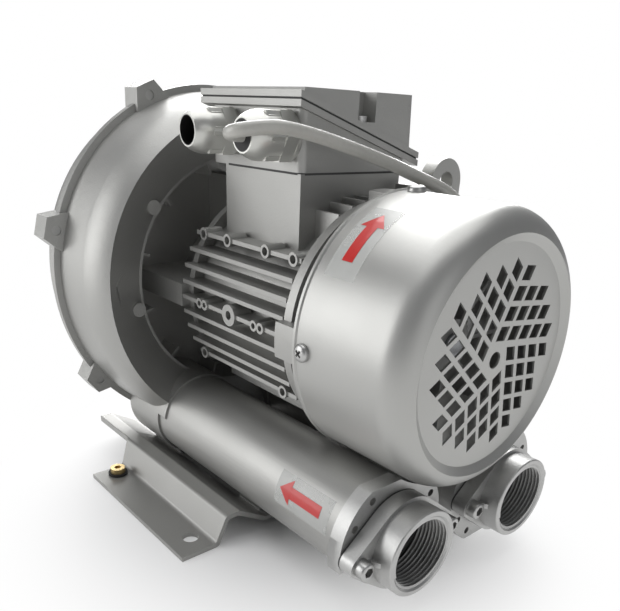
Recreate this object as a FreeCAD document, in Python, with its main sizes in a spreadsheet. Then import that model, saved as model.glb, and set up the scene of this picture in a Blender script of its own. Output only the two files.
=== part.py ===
import FreeCAD, Part
import math
import os

import Sketcher

V = FreeCAD.Vector

# Side channel blower with a finned single phase motor.
# X runs along the motor axis, from the ring casing at -X to the ports at +X.
# The floor is at Z = 0, and -Y is the side with the cable glands.

SIZES = {
    # Stance and the joint plane between the two halves of the ring casing
    "axis_height": 134.5,
    "joint_x": -117.0,
    # Ring casing, motor side half
    "rim_radius": 120.0,
    "rim_thickness": 5.0,
    "casing_radius": 116.0,
    "casing_taper": 2.0,
    "shoulder_start": 32.5,
    "shoulder_round": 38.0,
    "housing_depth": 55.5,
    "crest_radius": 106.0,
    "lip_station": 40.7,
    "lip_radius": 79.3,
    "lip_width": 1.8,
    "floor_front": 13.0,
    "floor_back": 7.0,
    "hub_radius": 28.0,
    "hub_front": 68.0,
    # Side channel that both halves share
    "channel_inner": 82.0,
    "channel_outer": 110.0,
    "channel_round": 15.0,
    "channel_depth": 45.0,
    "cover_channel_depth": 27.0,
    # Cover half
    "cover_rim_radius": 118.5,
    "cover_rim_thickness": 4.5,
    "cover_wall": 4.5,
    "cover_boss_radius": 34.0,
    "cover_boss_depth": 29.5,
    "cover_rib_count": 8,
    "cover_rib_thickness": 4.0,
    "cover_rib_height": 8.0,
    # Screw lugs round the joint
    "lug_count": 7,
    "lug_angle": 163.9,
    "lug_root": 113.0,
    "lug_reach": 128.0,
    "lug_half_width": 12.0,
    "lug_tip_half_width": 6.5,
    "lug_front": 8.5,
    "lug_back": 8.0,
    "cover_bolt_circle": 121.0,
    "cover_bolt_radius": 3.0,
    "cover_bolt_head": 5.0,
    "cover_bolt_head_height": 6.0,
    # Arms that carry the motor, and the stiffening ribs of the recess
    "arm_width": 14.0,
    "arm_reach": 66.0,
    "recess_rib_count": 12,
    "recess_rib_thickness": 1.8,
    "recess_rib_height": 9.0,
    "recess_rib_length": 20.0,
    "face_boss_count": 8,
    "face_boss_angle": 189.0,
    "face_boss_circle": 84.0,
    "face_boss_radius": 4.5,
    "face_boss_front": 46.0,
    # Impeller
    "impeller_radius": 106.5,
    "impeller_root": 83.5,
    "impeller_web": 5.0,
    "impeller_disc": 12.0,
    "impeller_width": 34.0,
    "impeller_hub": 20.0,
    "impeller_hub_back": 14.0,
    "vane_count": 36,
    "vane_thickness": 2.2,
    "vane_round": 9.0,
    # Shaft and what is on it
    "shaft_impeller_radius": 8.0,
    "shaft_front_radius": 8.5,
    "shaft_body_radius": 12.0,
    "shaft_rear_radius": 7.5,
    "shaft_fan_radius": 7.0,
    "shaft_stud_radius": 4.0,
    "shaft_stud_length": 9.5,
    "washer_radius": 12.0,
    "washer_thickness": 2.5,
    "nut_flats": 13.0,
    "nut_height": 6.5,
    "key_width": 5.0,
    "key_height": 5.0,
    "key_length": 14.0,
    "key_depth": 3.0,
    "seal_radius": 14.0,
    "seal_width": 6.0,
    "front_bearing_radius": 20.0,
    "front_bearing_width": 12.0,
    "rear_bearing_radius": 17.5,
    "rear_bearing_width": 11.0,
    "race_thickness": 3.5,
    "shield_thickness": 1.0,
    "seat_clearance": 0.02,
    "core_clearance": 0.05,
    "shaft_clearance": 0.05,
    "running_gap": 0.5,
    # Motor frame
    "frame_start": 71.0,
    "frame_length": 101.5,
    "frame_bore": 48.0,
    "frame_radius": 54.0,
    "frame_ring_radius": 60.5,
    "frame_ring_thickness": 5.0,
    "fin_radius": 66.0,
    "fin_pitch": 9.5,
    "fin_thickness": 2.4,
    "fin_rows": 4,
    "fin_columns": 3,
    "fin_boss_radius": 3.7,
    "fin_boss_hole": 2.3,
    "fin_boss_depth": 12.0,
    "fin_boss_proud": 1.0,
    "fin_boss_tap": 5.0,
    "upper_boss_1": -41.0,
    "upper_boss_2": -16.0,
    "upper_boss_3": 20.0,
    "upper_boss_4": 44.0,
    "lower_boss_1": -44.0,
    "lower_boss_2": 38.0,
    "twin_boss_1": -29.0,
    "twin_boss_2": -23.5,
    "twin_boss_3": 26.0,
    "twin_boss_4": 32.0,
    "earth_boss_1": 2.0,
    "twin_boss_radius": 3.1,
    "twin_boss_hole": 1.6,
    "earth_boss_radius": 6.2,
    "earth_boss_hole": 2.6,
    # Rotor and stator
    "core_start": 21.0,
    "core_length": 60.0,
    "rotor_radius": 27.5,
    "winding_inner": 30.5,
    "winding_outer": 45.0,
    "winding_length": 13.5,
    "air_gap": 0.6,
    # Pedestal under the terminal box
    "pedestal_start": 14.5,
    "pedestal_length": 68.0,
    "pedestal_near": 41.0,
    "pedestal_far": 34.0,
    "pedestal_height": 77.5,
    "pedestal_foot": 34.0,
    "pedestal_round": 3.0,
    "wire_hole_radius": 9.0,
    # Lifting eye
    "eye_station": 84.0,
    "eye_thickness": 9.0,
    "eye_y": 65.0,
    "eye_z": 71.5,
    "eye_radius": 14.0,
    "eye_hole_radius": 6.5,
    # Fan end shield
    "shield_radius": 66.0,
    "shield_plate": 6.0,
    "shield_hub_radius": 24.0,
    "pad_width": 19.0,
    "pad_reach": 30.5,
    "pad_root": 58.0,
    # Cooling fan
    "fan_gap": 14.5,
    "fan_hub_radius": 14.0,
    "fan_hub_length": 28.0,
    "fan_radius": 61.0,
    "fan_disc_radius": 46.0,
    "fan_disc_thickness": 2.5,
    "fan_blade_count": 8,
    "fan_blade_thickness": 2.2,
    "fan_blade_width": 25.0,
    # Fan cowl and its guard
    "cowl_gap": 17.0,
    "cowl_length": 69.4,
    "cowl_radius": 72.7,
    "cowl_sheet": 1.2,
    "cowl_band_radius": 73.5,
    "cowl_band_width": 1.6,
    "cowl_shoulder": 15.0,
    "cowl_crest_radius": 61.8,
    "cowl_crest": 3.0,
    "guard_radius": 57.5,
    "guard_pitch": 10.2,
    "guard_row_pitch": 10.45,
    "guard_first": -2.7,
    "guard_first_row": 14.0,
    "guard_angle": 65.1,
    "guard_hole": 7.6,
    "guard_centre_hole": 4.4,
    "cowl_screw_station": 7.4,
    "cowl_screw_radius": 2.5,
    "cowl_screw_head": 4.8,
    "cowl_screw_head_height": 3.2,
    "cowl_screw_length": 9.0,
    # Terminal box
    "box_start": 0.5,
    "box_length": 82.0,
    "box_near": 41.0,
    "box_far": 38.0,
    "box_wall": 3.0,
    "box_round": 4.0,
    "parting_height": 98.9,
    "parting_slope": 0.309,
    "rim_near": 44.0,
    "rim_far": 47.0,
    "rim_back": 6.5,
    "rim_front": 2.0,
    "rim_height": 3.2,
    "gasket_thickness": 1.0,
    "gasket_inset": 0.8,
    "lid_height": 117.5,
    "lid_inset": 2.0,
    "lid_screw_y": 4.0,
    "lid_channel_width": 13.0,
    "lid_channel_depth": 7.0,
    "lid_screw_radius": 2.0,
    "lid_screw_head": 4.0,
    "lid_screw_head_height": 3.0,
    "lid_screw_length": 16.0,
    "terminal_block_length": 44.0,
    "terminal_block_width": 22.0,
    "terminal_block_height": 9.0,
    "terminal_block_x_margin": 10.0,
    "terminal_block_y_margin": 9.0,
    "terminal_stud_radius": 2.0,
    "terminal_stud_height": 6.0,
    "terminal_stud_pitch": 14.0,
    "terminal_stud_row_pitch": 10.0,
    "terminal_stud_x": 8.0,
    "terminal_stud_y": 6.0,
    "capacitor_radius": 13.0,
    "capacitor_length": 52.0,
    # Cable glands
    "gland_height": 95.0,
    "gland_one_station": 19.0,
    "gland_two_station": 70.0,
    "gland_flats": 24.0,
    "gland_flange_radius": 12.4,
    "gland_flange_width": 2.0,
    "gland_body_width": 10.0,
    "gland_thread_radius": 8.7,
    "gland_thread_length": 7.0,
    "gland_cap_radius": 12.0,
    "gland_cap_mouth": 8.4,
    "gland_cap_length": 18.0,
    "gland_cap_flats": 22.6,
    "gland_cap_grip": 8.5,
    "gland_cap_round": 11.0,
    "gland_mouth_radius": 7.3,
    "gland_seal_length": 12.0,
    "gland_open_seal_depth": 18.0,
    "gland_hole_clearance": 0.05,
    # Silencers
    "tube_spacing": 89.8,
    "tube_drop": 94.2,
    "tube_radius": 29.5,
    "tube_wall": 3.0,
    "tube_start": 46.5,
    "socket_front": 56.1,
    "tube_length": 188.0,
    "stub_radius": 31.0,
    "piece_gap": 0.3,
    "foam_thickness": 6.0,
    "foam_gap": 0.4,
    "foam_inset": 10.0,
    # End plates and port flanges
    "plate_thickness": 9.0,
    "plate_radius": 38.5,
    "plate_half_height": 33.5,
    "plate_bore": 19.6,
    "plate_spigot": 6.0,
    "plate_scallop_gap": 1.5,
    "plate_hole_circle": 33.0,
    "plate_hole_radius": 2.2,
    "gasket_sheet": 1.0,
    "flange_thickness": 8.5,
    "flange_radius": 27.0,
    "flange_lug_circle": 33.0,
    "flange_lug_radius": 6.5,
    "collar_radius": 24.7,
    "collar_length": 12.4,
    "port_bore": 20.9,
    "port_chamfer": 1.0,
    "gusset_thickness": 3.0,
    "flange_screw_radius": 3.0,
    "flange_screw_head": 5.0,
    "flange_screw_head_height": 6.0,
    "flange_screw_reach": 7.0,
    # Foot plate, a bent sheet
    "foot_sheet": 3.0,
    "foot_length": 122.5,
    "foot_start": 27.5,
    "foot_tail": 27.0,
    "foot_half_width": 119.5,
    "foot_flange_inner": 96.0,
    "foot_crest_outer": 88.0,
    "foot_crest_inner": 78.0,
    "foot_crest_height": 19.5,
    "foot_bed_half_width": 58.0,
    "foot_bed_height": 7.5,
    "foot_bend": 3.0,
    "foot_notch_half_width": 22.0,
    "foot_notch_length": 62.0,
    "foot_hole_radius": 5.0,
    "foot_hole_centre": 86.0,
    "foot_hole_spacing": 98.0,
    "foot_hole_span": 209.6,
    "foot_pad_width": 24.0,
    "foot_pad_length": 22.0,
    "foot_pad_height": 8.0,
    "foot_pad_station": 131.0,
    "foot_screw_radius": 3.0,
    "foot_screw_head": 5.2,
    "foot_screw_head_height": 3.0,
    "foot_screw_reach": 4.5,
    "housing_screw_station": 26.0,
    "grommet_radius": 6.6,
    "grommet_bore": 3.3,
    "grommet_height": 1.6,
    "grommet_bolt_radius": 3.0,
    "grommet_bolt_head": 5.0,
    "grommet_bolt_head_height": 3.5,
    "grommet_bolt_flats": 4.2,
    "grommet_bolt_floor": 1.4,
    # Cord and plug
    "cord_diameter": 6.6,
    "plug_nose_radius": 4.2,
    "plug_sleeve_length": 18.0,
    "plug_sleeve_radius": 5.2,
    "plug_shoulder_length": 24.0,
    "plug_shoulder_radius": 8.6,
    "plug_grip_length": 46.0,
    "plug_grip_radius": 9.2,
    "plug_length": 50.0,
    "plug_face_radius": 8.2,
    "plug_pin_radius": 2.0,
    "plug_pin_length": 18.0,
    "plug_pin_spacing": 10.4,
    "plug_heading": 225.0,
    "coil_mean_radius": 35.0,
    "coil_x": -75.0,
    "coil_y": 180.0,
}

NODES = []

doc = FreeCAD.newDocument("air_pump")
sheet = doc.addObject("Spreadsheet::Sheet", "sizes")
for row, (alias, number) in enumerate(SIZES.items(), start=1):
    sheet.set(f"A{row}", alias)
    sheet.set(f"B{row}", str(number))
    sheet.setAlias(f"B{row}", alias)
doc.recompute()


def bound(text):
    """Turn {name} into a reference to the cell of that name."""
    return str(text).replace("{", "sizes.").replace("}", "")


def value(text):
    """Number that an expression gives with the sheet's present sizes."""
    return float(sheet.evalExpression(bound(text)))


def node(item, label):
    """Give a finished sub-part its label, which names its file."""
    item.Label = label
    NODES.append(item)
    return item


def bind(item, **expressions):
    """Bind properties of an object, named with __ for a dot, to expressions."""
    for name, text in expressions.items():
        item.setExpression(name.replace("__", "."), bound(text))
    return item


def place(item, x="0", y="0", z="0"):
    """Bind an object's position."""
    return bind(item, Placement__Base__x=x, Placement__Base__y=y, Placement__Base__z=z)


# Helpers for bodies

def new_body(label, z="0"):
    body = doc.addObject("PartDesign::Body", label)
    body.AllowCompound = False
    place(body, z=z)
    return body


def origin_plane(body, role):
    return next(item for item in body.Origin.OriginFeatures if item.Role == role)


def new_sketch(body, name, role, offset="0", angle="0"):
    sketch = body.newObject("Sketcher::SketchObject", name)
    sketch.AttachmentSupport = [(origin_plane(body, role), "")]
    sketch.MapMode = "FlatFace"
    bind(sketch, AttachmentOffset__Base__z=offset,
         AttachmentOffset__Rotation__Angle=f"({angle}) * 1 deg")
    return sketch


def outline(sketch, points):
    """Draw a closed outline, each corner bound to (u, v) expressions.

    A corner with two more entries, a radius and a side, is reached by an arc that
    bulges to the left (1) or to the right (-1) of the way from the corner before.
    """
    corners = [(value(p[0]), value(p[1])) for p in points]
    first = sketch.GeometryCount
    count = len(points)
    ends = []
    for n in range(count):
        after = (n + 1) % count
        a, b = V(*corners[n], 0), V(*corners[after], 0)
        if len(points[after]) == 2:
            sketch.addGeometry(Part.LineSegment(a, b))
            ends.append((1, 2))
            continue
        radius, side = value(points[after][2]), points[after][3]
        half = (b - a).Length / 2
        left = V(a.y - b.y, b.x - a.x, 0).normalize()
        centre = (a + b) / 2 - left * side * math.sqrt(max(radius ** 2 - half ** 2, 0))
        angles = [math.atan2(p.y - centre.y, p.x - centre.x) for p in (a, b)]
        if side > 0:
            angles.reverse()
        circle = Part.Circle(centre, V(0, 0, 1), radius)
        sketch.addGeometry(Part.ArcOfCircle(circle, *angles))
        ends.append((2, 1) if side > 0 else (1, 2))
    for n in range(count):
        geometry, after = first + n, first + (n + 1) % count
        sketch.addConstraint(Sketcher.Constraint(
            "Coincident", geometry, ends[n][1], after, ends[(n + 1) % count][0]))
        for kind, axis in (("DistanceX", 0), ("DistanceY", 1)):
            index = sketch.addConstraint(Sketcher.Constraint(
                kind, -1, 1, geometry, ends[n][0], corners[n][axis]))
            name = f"corner_{'uv'[axis]}_{geometry}"
            sketch.renameConstraint(index, name)
            sketch.setExpression(f"Constraints.{name}", bound(points[n][axis]))
        target = points[(n + 1) % count]
        if len(target) > 2:
            index = sketch.addConstraint(
                Sketcher.Constraint("Radius", geometry, value(target[2])))
            sketch.renameConstraint(index, f"round_{geometry}")
            sketch.setExpression(f"Constraints.round_{geometry}", bound(target[2]))
    return sketch


def circles(sketch, centres, radius):
    """Draw equal circles, their centres and radius bound to expressions."""
    for u, v in centres:
        n = sketch.addGeometry(Part.Circle(V(value(u), value(v), 0), V(0, 0, 1), value(radius)))
        for kind, text in (("DistanceX", u), ("DistanceY", v)):
            index = sketch.addConstraint(Sketcher.Constraint(kind, -1, 1, n, 3, value(text)))
            name = f"centre_{kind[-1].lower()}_{n}"
            sketch.renameConstraint(index, name)
            sketch.setExpression(f"Constraints.{name}", bound(text))
        index = sketch.addConstraint(Sketcher.Constraint("Radius", n, value(radius)))
        sketch.renameConstraint(index, f"circle_{n}")
        sketch.setExpression(f"Constraints.circle_{n}", bound(radius))
    return sketch


def box_points(u0, v0, u1, v1):
    return [(u0, v0), (u1, v0), (u1, v1), (u0, v1)]


def pad(body, sketch, length, back=False, middle=False):
    feature = body.newObject("PartDesign::Pad", sketch.Name + "_pad")
    feature.Profile = sketch
    feature.Reversed = back
    feature.Midplane = middle
    bind(feature, Length=length)
    doc.recompute()
    return feature


def cut_check(body, before, name):
    if body.Shape.Volume >= before - 1e-6:
        raise RuntimeError(f"{name} cuts nothing")


def pocket(body, sketch, length=None, back=False):
    """Cut a sketch into a body, right through both ways if no length is given."""
    before = body.Shape.Volume
    feature = body.newObject("PartDesign::Pocket", sketch.Name + "_pocket")
    feature.Profile = sketch
    feature.Reversed = back
    if length is None:
        feature.Type = "ThroughAll"
        feature.Midplane = True
    else:
        bind(feature, Length=length)
    doc.recompute()
    cut_check(body, before, sketch.Name)
    return feature


def turned(body, sketch, groove=False):
    """Turn a sketch about its own horizontal axis, as metal or as a cut."""
    before = body.Shape.Volume if groove else 0
    kind = "PartDesign::Groove" if groove else "PartDesign::Revolution"
    feature = body.newObject(kind, sketch.Name + "_turn")
    feature.Profile = sketch
    feature.ReferenceAxis = (sketch, ["H_Axis"])
    feature.Angle = 360
    doc.recompute()
    if groove:
        cut_check(body, before, sketch.Name)
    return feature


def around(body, features, sketch, count):
    """Repeat features evenly about the axis that stands on a sketch's origin."""
    pattern = body.newObject("PartDesign::PolarPattern", sketch.Name + "_ring")
    pattern.Originals = features
    pattern.Axis = (sketch, ["N_Axis"])
    pattern.Angle = 360
    bind(pattern, Occurrences=count)
    body.Tip = pattern
    doc.recompute()
    return pattern


def edges_where(shape, test):
    return [f"Edge{n}" for n, edge in enumerate(shape.Edges, start=1) if test(edge)]


def fillet(body, test, radius):
    base = body.Tip
    feature = body.newObject("PartDesign::Fillet", base.Name + "_round")
    feature.Base = (base, edges_where(base.Shape, test))
    bind(feature, Radius=radius)
    doc.recompute()
    return feature


# Helpers for primitives

AXIS_TURN = {"x": FreeCAD.Rotation(V(0, 1, 0), 90),
             "y": FreeCAD.Rotation(V(1, 0, 0), -90),
             "z": FreeCAD.Rotation()}


def rod(name, radius, length, x="0", y="0", z="0", axis="x"):
    """Cylinder that starts at (x, y, z) and runs along an axis."""
    item = doc.addObject("Part::Cylinder", name)
    item.Placement = FreeCAD.Placement(V(), AXIS_TURN[axis])
    bind(item, Radius=radius, Height=length)
    return place(item, x, y, z)


def block(name, size, corner):
    item = doc.addObject("Part::Box", name)
    bind(item, Length=size[0], Width=size[1], Height=size[2])
    return place(item, *corner)


def hex_rod(name, flats, length, x="0", y="0", z="0", axis="x"):
    item = doc.addObject("Part::Prism", name)
    item.Polygon = 6
    item.Placement = FreeCAD.Placement(V(), AXIS_TURN[axis])
    bind(item, Circumradius=f"({flats}) / 2 / cos(30 deg)", Height=length)
    return place(item, x, y, z)


def fuse(name, parts):
    item = doc.addObject("Part::MultiFuse", name)
    item.Shapes = parts
    return item


def cut(name, base, tools):
    item = doc.addObject("Part::Cut", name)
    item.Base = base
    item.Tool = tools[0] if len(tools) == 1 else fuse(name + "_tools", tools)
    return item


def group(name, parts):
    """Several separate solids that share a node."""
    item = doc.addObject("Part::Compound", name)
    item.Links = parts
    return item


def ring(name, outer, inner, length, x, y="0", z="{axis_height}"):
    """Plain tube about a line parallel to X."""
    body = rod(name + "_outer", outer, length, x, y, z)
    hole = rod(name + "_hole", inner, f"({length}) + 2", f"({x}) - 1", y, z)
    return cut(name, body, [hole])


# Places that several pieces share

AXIS = "{axis_height}"
JOINT = "{joint_x}"
FRAME_BACK = "({joint_x} + {frame_start})"
FRAME_FRONT = "({joint_x} + {frame_start} + {frame_length})"
COWL_BACK = "({joint_x} + {frame_start} + {frame_length} + {cowl_gap})"
GUARD = "({joint_x} + {frame_start} + {frame_length} + {cowl_gap} + {cowl_length})"
TUBE_BACK = "({joint_x} + {tube_start})"
TUBE_FRONT = "({joint_x} + {tube_start} + {tube_length})"
PLATE_FRONT = "({joint_x} + {tube_start} + {tube_length} + {plate_thickness})"
FLANGE_BACK = "({joint_x} + {tube_start} + {tube_length} + {plate_thickness} + {gasket_sheet})"
TUBE_Z = "({axis_height} - {tube_drop})"
RECESS = "({lip_radius} - {lip_width})"
COVER_FLOOR = "({floor_back} + {cover_wall})"
SIDES = {"near": "-{tube_spacing} / 2", "far": "{tube_spacing} / 2"}


def ring_housing():
    """Motor side half of the ring casing, with its screw lugs and silencer sockets."""
    body = new_body("ring_housing", AXIS)
    profile = outline(new_sketch(body, "housing_outside", "XY_Plane"), [
        (JOINT, "0"),
        (f"{JOINT} + {{floor_front}}", "0"),
        (f"{JOINT} + {{floor_front}}", RECESS),
        (f"{JOINT} + {{lip_station}}", RECESS),
        (f"{JOINT} + {{lip_station}}", "{lip_radius}"),
        (f"{JOINT} + {{housing_depth}}", "{crest_radius}"),
        (f"{JOINT} + {{shoulder_start}}", "{casing_radius} - {casing_taper}",
         "{shoulder_round}", -1),
        (f"{JOINT} + {{rim_thickness}}", "{casing_radius}"),
        (f"{JOINT} + {{rim_thickness}}", "{rim_radius}"),
        (JOINT, "{rim_radius}"),
    ])
    turned(body, profile)

    # Sockets for the two silencers, with flat pads that stand on the foot plate
    sockets = circles(new_sketch(body, "sockets", "YZ_Plane", f"{JOINT} + {{rim_thickness}}"),
                      [(side, "-{tube_drop}") for side in SIDES.values()], "{stub_radius}")
    pad(body, sockets, "{socket_front} - {rim_thickness}")
    # Outside the ring's crest the sockets end earlier, where the tubes butt on them
    step = outline(new_sketch(body, "socket_step", "XY_Plane"),
                   box_points(f"{JOINT} + {{tube_start}}", "{casing_radius} + {piece_gap}",
                              f"{JOINT} + {{hub_front}}", "{casing_radius} * 1.5"))
    turned(body, step, groove=True)
    for name, side in SIDES.items():
        feet = outline(
            new_sketch(body, f"socket_pad_{name}", "YZ_Plane", f"{JOINT} + {{rim_thickness}}"),
            box_points(f"{side} - {{foot_pad_width}} / 2", "{foot_bed_height} - {axis_height}",
                       f"{side} + {{foot_pad_width}} / 2", "-{tube_drop}"))
        pad(body, feet, "{tube_start} - {rim_thickness} - 4")

    # Screw lugs round the joint
    lugs = outline(new_sketch(body, "housing_lugs", "YZ_Plane", JOINT, "{lug_angle}"), [
        ("{lug_root}", "-{lug_half_width}"),
        ("{casing_radius}", "-{lug_half_width}"),
        ("{lug_reach}", "-{lug_tip_half_width}"),
        ("{lug_reach}", "{lug_tip_half_width}"),
        ("{casing_radius}", "{lug_half_width}"),
        ("{lug_root}", "{lug_half_width}"),
    ])
    around(body, [pad(body, lugs, "{lug_front}")], lugs, "{lug_count}")

    # Ribs in the recess and bosses on the dished face
    ribs = outline(
        new_sketch(body, "recess_ribs", "YZ_Plane", f"{JOINT} + {{floor_front}} - 1", "15"),
        box_points(f"{RECESS} - {{recess_rib_height}}", "-{recess_rib_thickness} / 2",
                   f"{RECESS} + 1", "{recess_rib_thickness} / 2"))
    rib = pad(body, ribs, "{recess_rib_length} + 1")
    around(body, [rib], ribs, "{recess_rib_count}")
    bosses = circles(
        new_sketch(body, "face_bosses", "YZ_Plane",
                   f"{JOINT} + {{face_boss_front}}", "{face_boss_angle}"),
        [("{face_boss_circle}", "0")], "{face_boss_radius}")
    boss = pad(body, bosses, "{face_boss_front} - {lip_station} + 2", back=True)
    around(body, [boss], bosses, "{face_boss_count}")

    # Side channel, impeller space and seal bore
    cavity = outline(new_sketch(body, "housing_cavity", "XY_Plane"), [
        (JOINT, "0"),
        (f"{JOINT} + {{floor_front}}", "0"),
        (f"{JOINT} + {{floor_front}}", "{seal_radius} + {seat_clearance}"),
        (f"{JOINT} + {{floor_back}}", "{seal_radius} + {seat_clearance}"),
        (f"{JOINT} + {{floor_back}}", "{channel_inner}"),
        (f"{JOINT} + {{channel_depth}} - {{channel_round}}", "{channel_inner}"),
        (f"{JOINT} + {{channel_depth}}", "{channel_inner} + {channel_round}",
         "{channel_round}", -1),
        (f"{JOINT} + {{channel_depth}} - ({{channel_outer}} - {{channel_inner}} - {{channel_round}})",
         "{channel_outer}", "{channel_outer} - {channel_inner} - {channel_round}", -1),
        (JOINT, "{channel_outer}"),
    ])
    turned(body, cavity, groove=True)
    ports = circles(new_sketch(body, "socket_bores", "YZ_Plane", f"{JOINT} + {{socket_front}}"),
                    [(side, "-{tube_drop}") for side in SIDES.values()],
                    "{tube_radius} - {tube_wall} - {foam_thickness}")
    pocket(body, ports, "{socket_front} - {impeller_width} / 2 - 4")

    holes = circles(new_sketch(body, "housing_bolt_holes", "YZ_Plane", JOINT, "{lug_angle}"),
                    [("{cover_bolt_circle}", "0")], "{cover_bolt_radius} + {seat_clearance}")
    hole = pocket(body, holes)
    around(body, [hole], holes, "{lug_count}")
    taps = circles(new_sketch(body, "pad_taps", "XY_Plane",
                              "{foot_bed_height} - {axis_height}"),
                   [(f"{JOINT} + {{housing_screw_station}}", side) for side in SIDES.values()],
                   "{foot_screw_radius} + {seat_clearance}")
    pocket(body, taps, "{foot_screw_reach} + 1", back=True)
    return node(body, "ring_housing")


def motor_bracket():
    """Bearing bracket on the ring's floor, with the four arms that carry the motor."""
    body = new_body("motor_bracket", AXIS)
    foot = f"{JOINT} + {{floor_front}}"
    hub = outline(new_sketch(body, "bracket_hub", "XY_Plane"), [
        (foot, "0"),
        (f"{JOINT} + {{hub_front}}", "0"),
        (f"{JOINT} + {{hub_front}}", "{hub_radius}"),
        (foot, "{hub_radius}"),
    ])
    turned(body, hub)
    arms = outline(new_sketch(body, "bracket_arms", "YZ_Plane", foot),
                   box_points("{hub_radius} - 4", "-{arm_width} / 2",
                              "{arm_reach}", "{arm_width} / 2"))
    arm = pad(body, arms, "{frame_start} - {floor_front}")
    around(body, [arm], arms, "4")
    seat = outline(new_sketch(body, "bearing_seat", "XY_Plane"), [
        (foot, "0"),
        (f"{JOINT} + {{hub_front}}", "0"),
        (f"{JOINT} + {{hub_front}}", "{front_bearing_radius} + {seat_clearance}"),
        (f"{JOINT} + {{hub_front}} - {{front_bearing_width}}",
         "{front_bearing_radius} + {seat_clearance}"),
        (f"{JOINT} + {{hub_front}} - {{front_bearing_width}}", "{shaft_front_radius} + 2"),
        (foot, "{shaft_front_radius} + 2"),
    ])
    turned(body, seat, groove=True)
    return node(body, "motor_bracket")


def ring_cover():
    """Rear half of the ring casing, with a cap over the impeller nut."""
    body = new_body("ring_cover", AXIS)
    out = "({channel_outer} - {channel_inner} - {channel_round})"
    profile = outline(new_sketch(body, "cover_outside", "XY_Plane"), [
        (JOINT, "0"),
        (JOINT, "{cover_rim_radius}"),
        (f"{JOINT} - {{cover_rim_thickness}}", "{cover_rim_radius}"),
        (f"{JOINT} - {{cover_rim_thickness}}", "{channel_outer} + {cover_wall}"),
        (f"{JOINT} - {{cover_channel_depth}} + {out}", "{channel_outer} + {cover_wall}"),
        (f"{JOINT} - {{cover_channel_depth}} - {{cover_wall}}", "{channel_inner} + {channel_round}",
         f"{out} + {{cover_wall}}", -1),
        (f"{JOINT} - {{cover_channel_depth}} + {{channel_round}}", "{channel_inner} - {cover_wall}",
         "{channel_round} + {cover_wall}", -1),
        (f"{JOINT} - {COVER_FLOOR}", "{channel_inner} - {cover_wall}"),
        (f"{JOINT} - {COVER_FLOOR}", "{cover_boss_radius}"),
        (f"{JOINT} - {{cover_boss_depth}}", "{cover_boss_radius} - 3"),
        (f"{JOINT} - {{cover_boss_depth}}", "0"),
    ])
    turned(body, profile)
    ribs = outline(new_sketch(body, "cover_ribs", "YZ_Plane", f"{JOINT} - {COVER_FLOOR} + 1"),
                   box_points("{cover_boss_radius} - 4", "-{cover_rib_thickness} / 2",
                              "{channel_inner} + 4", "{cover_rib_thickness} / 2"))
    rib = pad(body, ribs, "{cover_rib_height} + 1", back=True)
    around(body, [rib], ribs, "{cover_rib_count}")
    lugs = outline(new_sketch(body, "cover_lugs", "YZ_Plane", JOINT, "{lug_angle}"), [
        ("{lug_root}", "-{lug_half_width}"),
        ("{casing_radius}", "-{lug_half_width}"),
        ("{lug_reach}", "-{lug_tip_half_width}"),
        ("{lug_reach}", "{lug_tip_half_width}"),
        ("{casing_radius}", "{lug_half_width}"),
        ("{lug_root}", "{lug_half_width}"),
    ])
    around(body, [pad(body, lugs, "{lug_back}", back=True)], lugs, "{lug_count}")
    cavity = outline(new_sketch(body, "cover_cavity", "XY_Plane"), [
        (JOINT, "0"),
        (JOINT, "{channel_outer}"),
        (f"{JOINT} - {{cover_channel_depth}} + {out}", "{channel_outer}"),
        (f"{JOINT} - {{cover_channel_depth}}", "{channel_inner} + {channel_round}", out, -1),
        (f"{JOINT} - {{cover_channel_depth}} + {{channel_round}}", "{channel_inner}",
         "{channel_round}", -1),
        (f"{JOINT} - {{floor_back}}", "{channel_inner}"),
        (f"{JOINT} - {{floor_back}}", "{cover_boss_radius} - 8"),
        (f"{JOINT} - {{cover_boss_depth}} + {{cover_wall}}", "{cover_boss_radius} - 8"),
        (f"{JOINT} - {{cover_boss_depth}} + {{cover_wall}}", "0"),
    ])
    turned(body, cavity, groove=True)
    holes = circles(new_sketch(body, "cover_bolt_holes", "YZ_Plane", JOINT, "{lug_angle}"),
                    [("{cover_bolt_circle}", "0")], "{cover_bolt_radius} + {seat_clearance}")
    hole = pocket(body, holes)
    around(body, [hole], holes, "{lug_count}")
    return node(body, "ring_cover")


def polar(radius, angle, step, count):
    """Expressions for the (y, z) of a place on a circle about the motor axis."""
    turn = f"(({angle}) + {step} * 360 / ({count})) * 1 deg"
    return f"({radius}) * cos({turn})", f"{{axis_height}} + ({radius}) * sin({turn})"


def cover_screws():
    """Socket screws that come in from the back and end in the housing's lugs."""
    screws = []
    for n in range(int(value("{lug_count}"))):
        y, z = polar("{cover_bolt_circle}", "{lug_angle}", n, "{lug_count}")
        shank = rod(f"cover_shank_{n}", "{cover_bolt_radius}", "{lug_back} + {lug_front} - 1",
                    f"{JOINT} - {{lug_back}}", y, z)
        head = rod(f"cover_head_{n}", "{cover_bolt_head}", "{cover_bolt_head_height}",
                   f"{JOINT} - {{lug_back}} - {{cover_bolt_head_height}}", y, z)
        screws.append(fuse(f"cover_screw_{n}", [shank, head]))
    return node(group("cover_screws", screws), "cover_screws")


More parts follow.
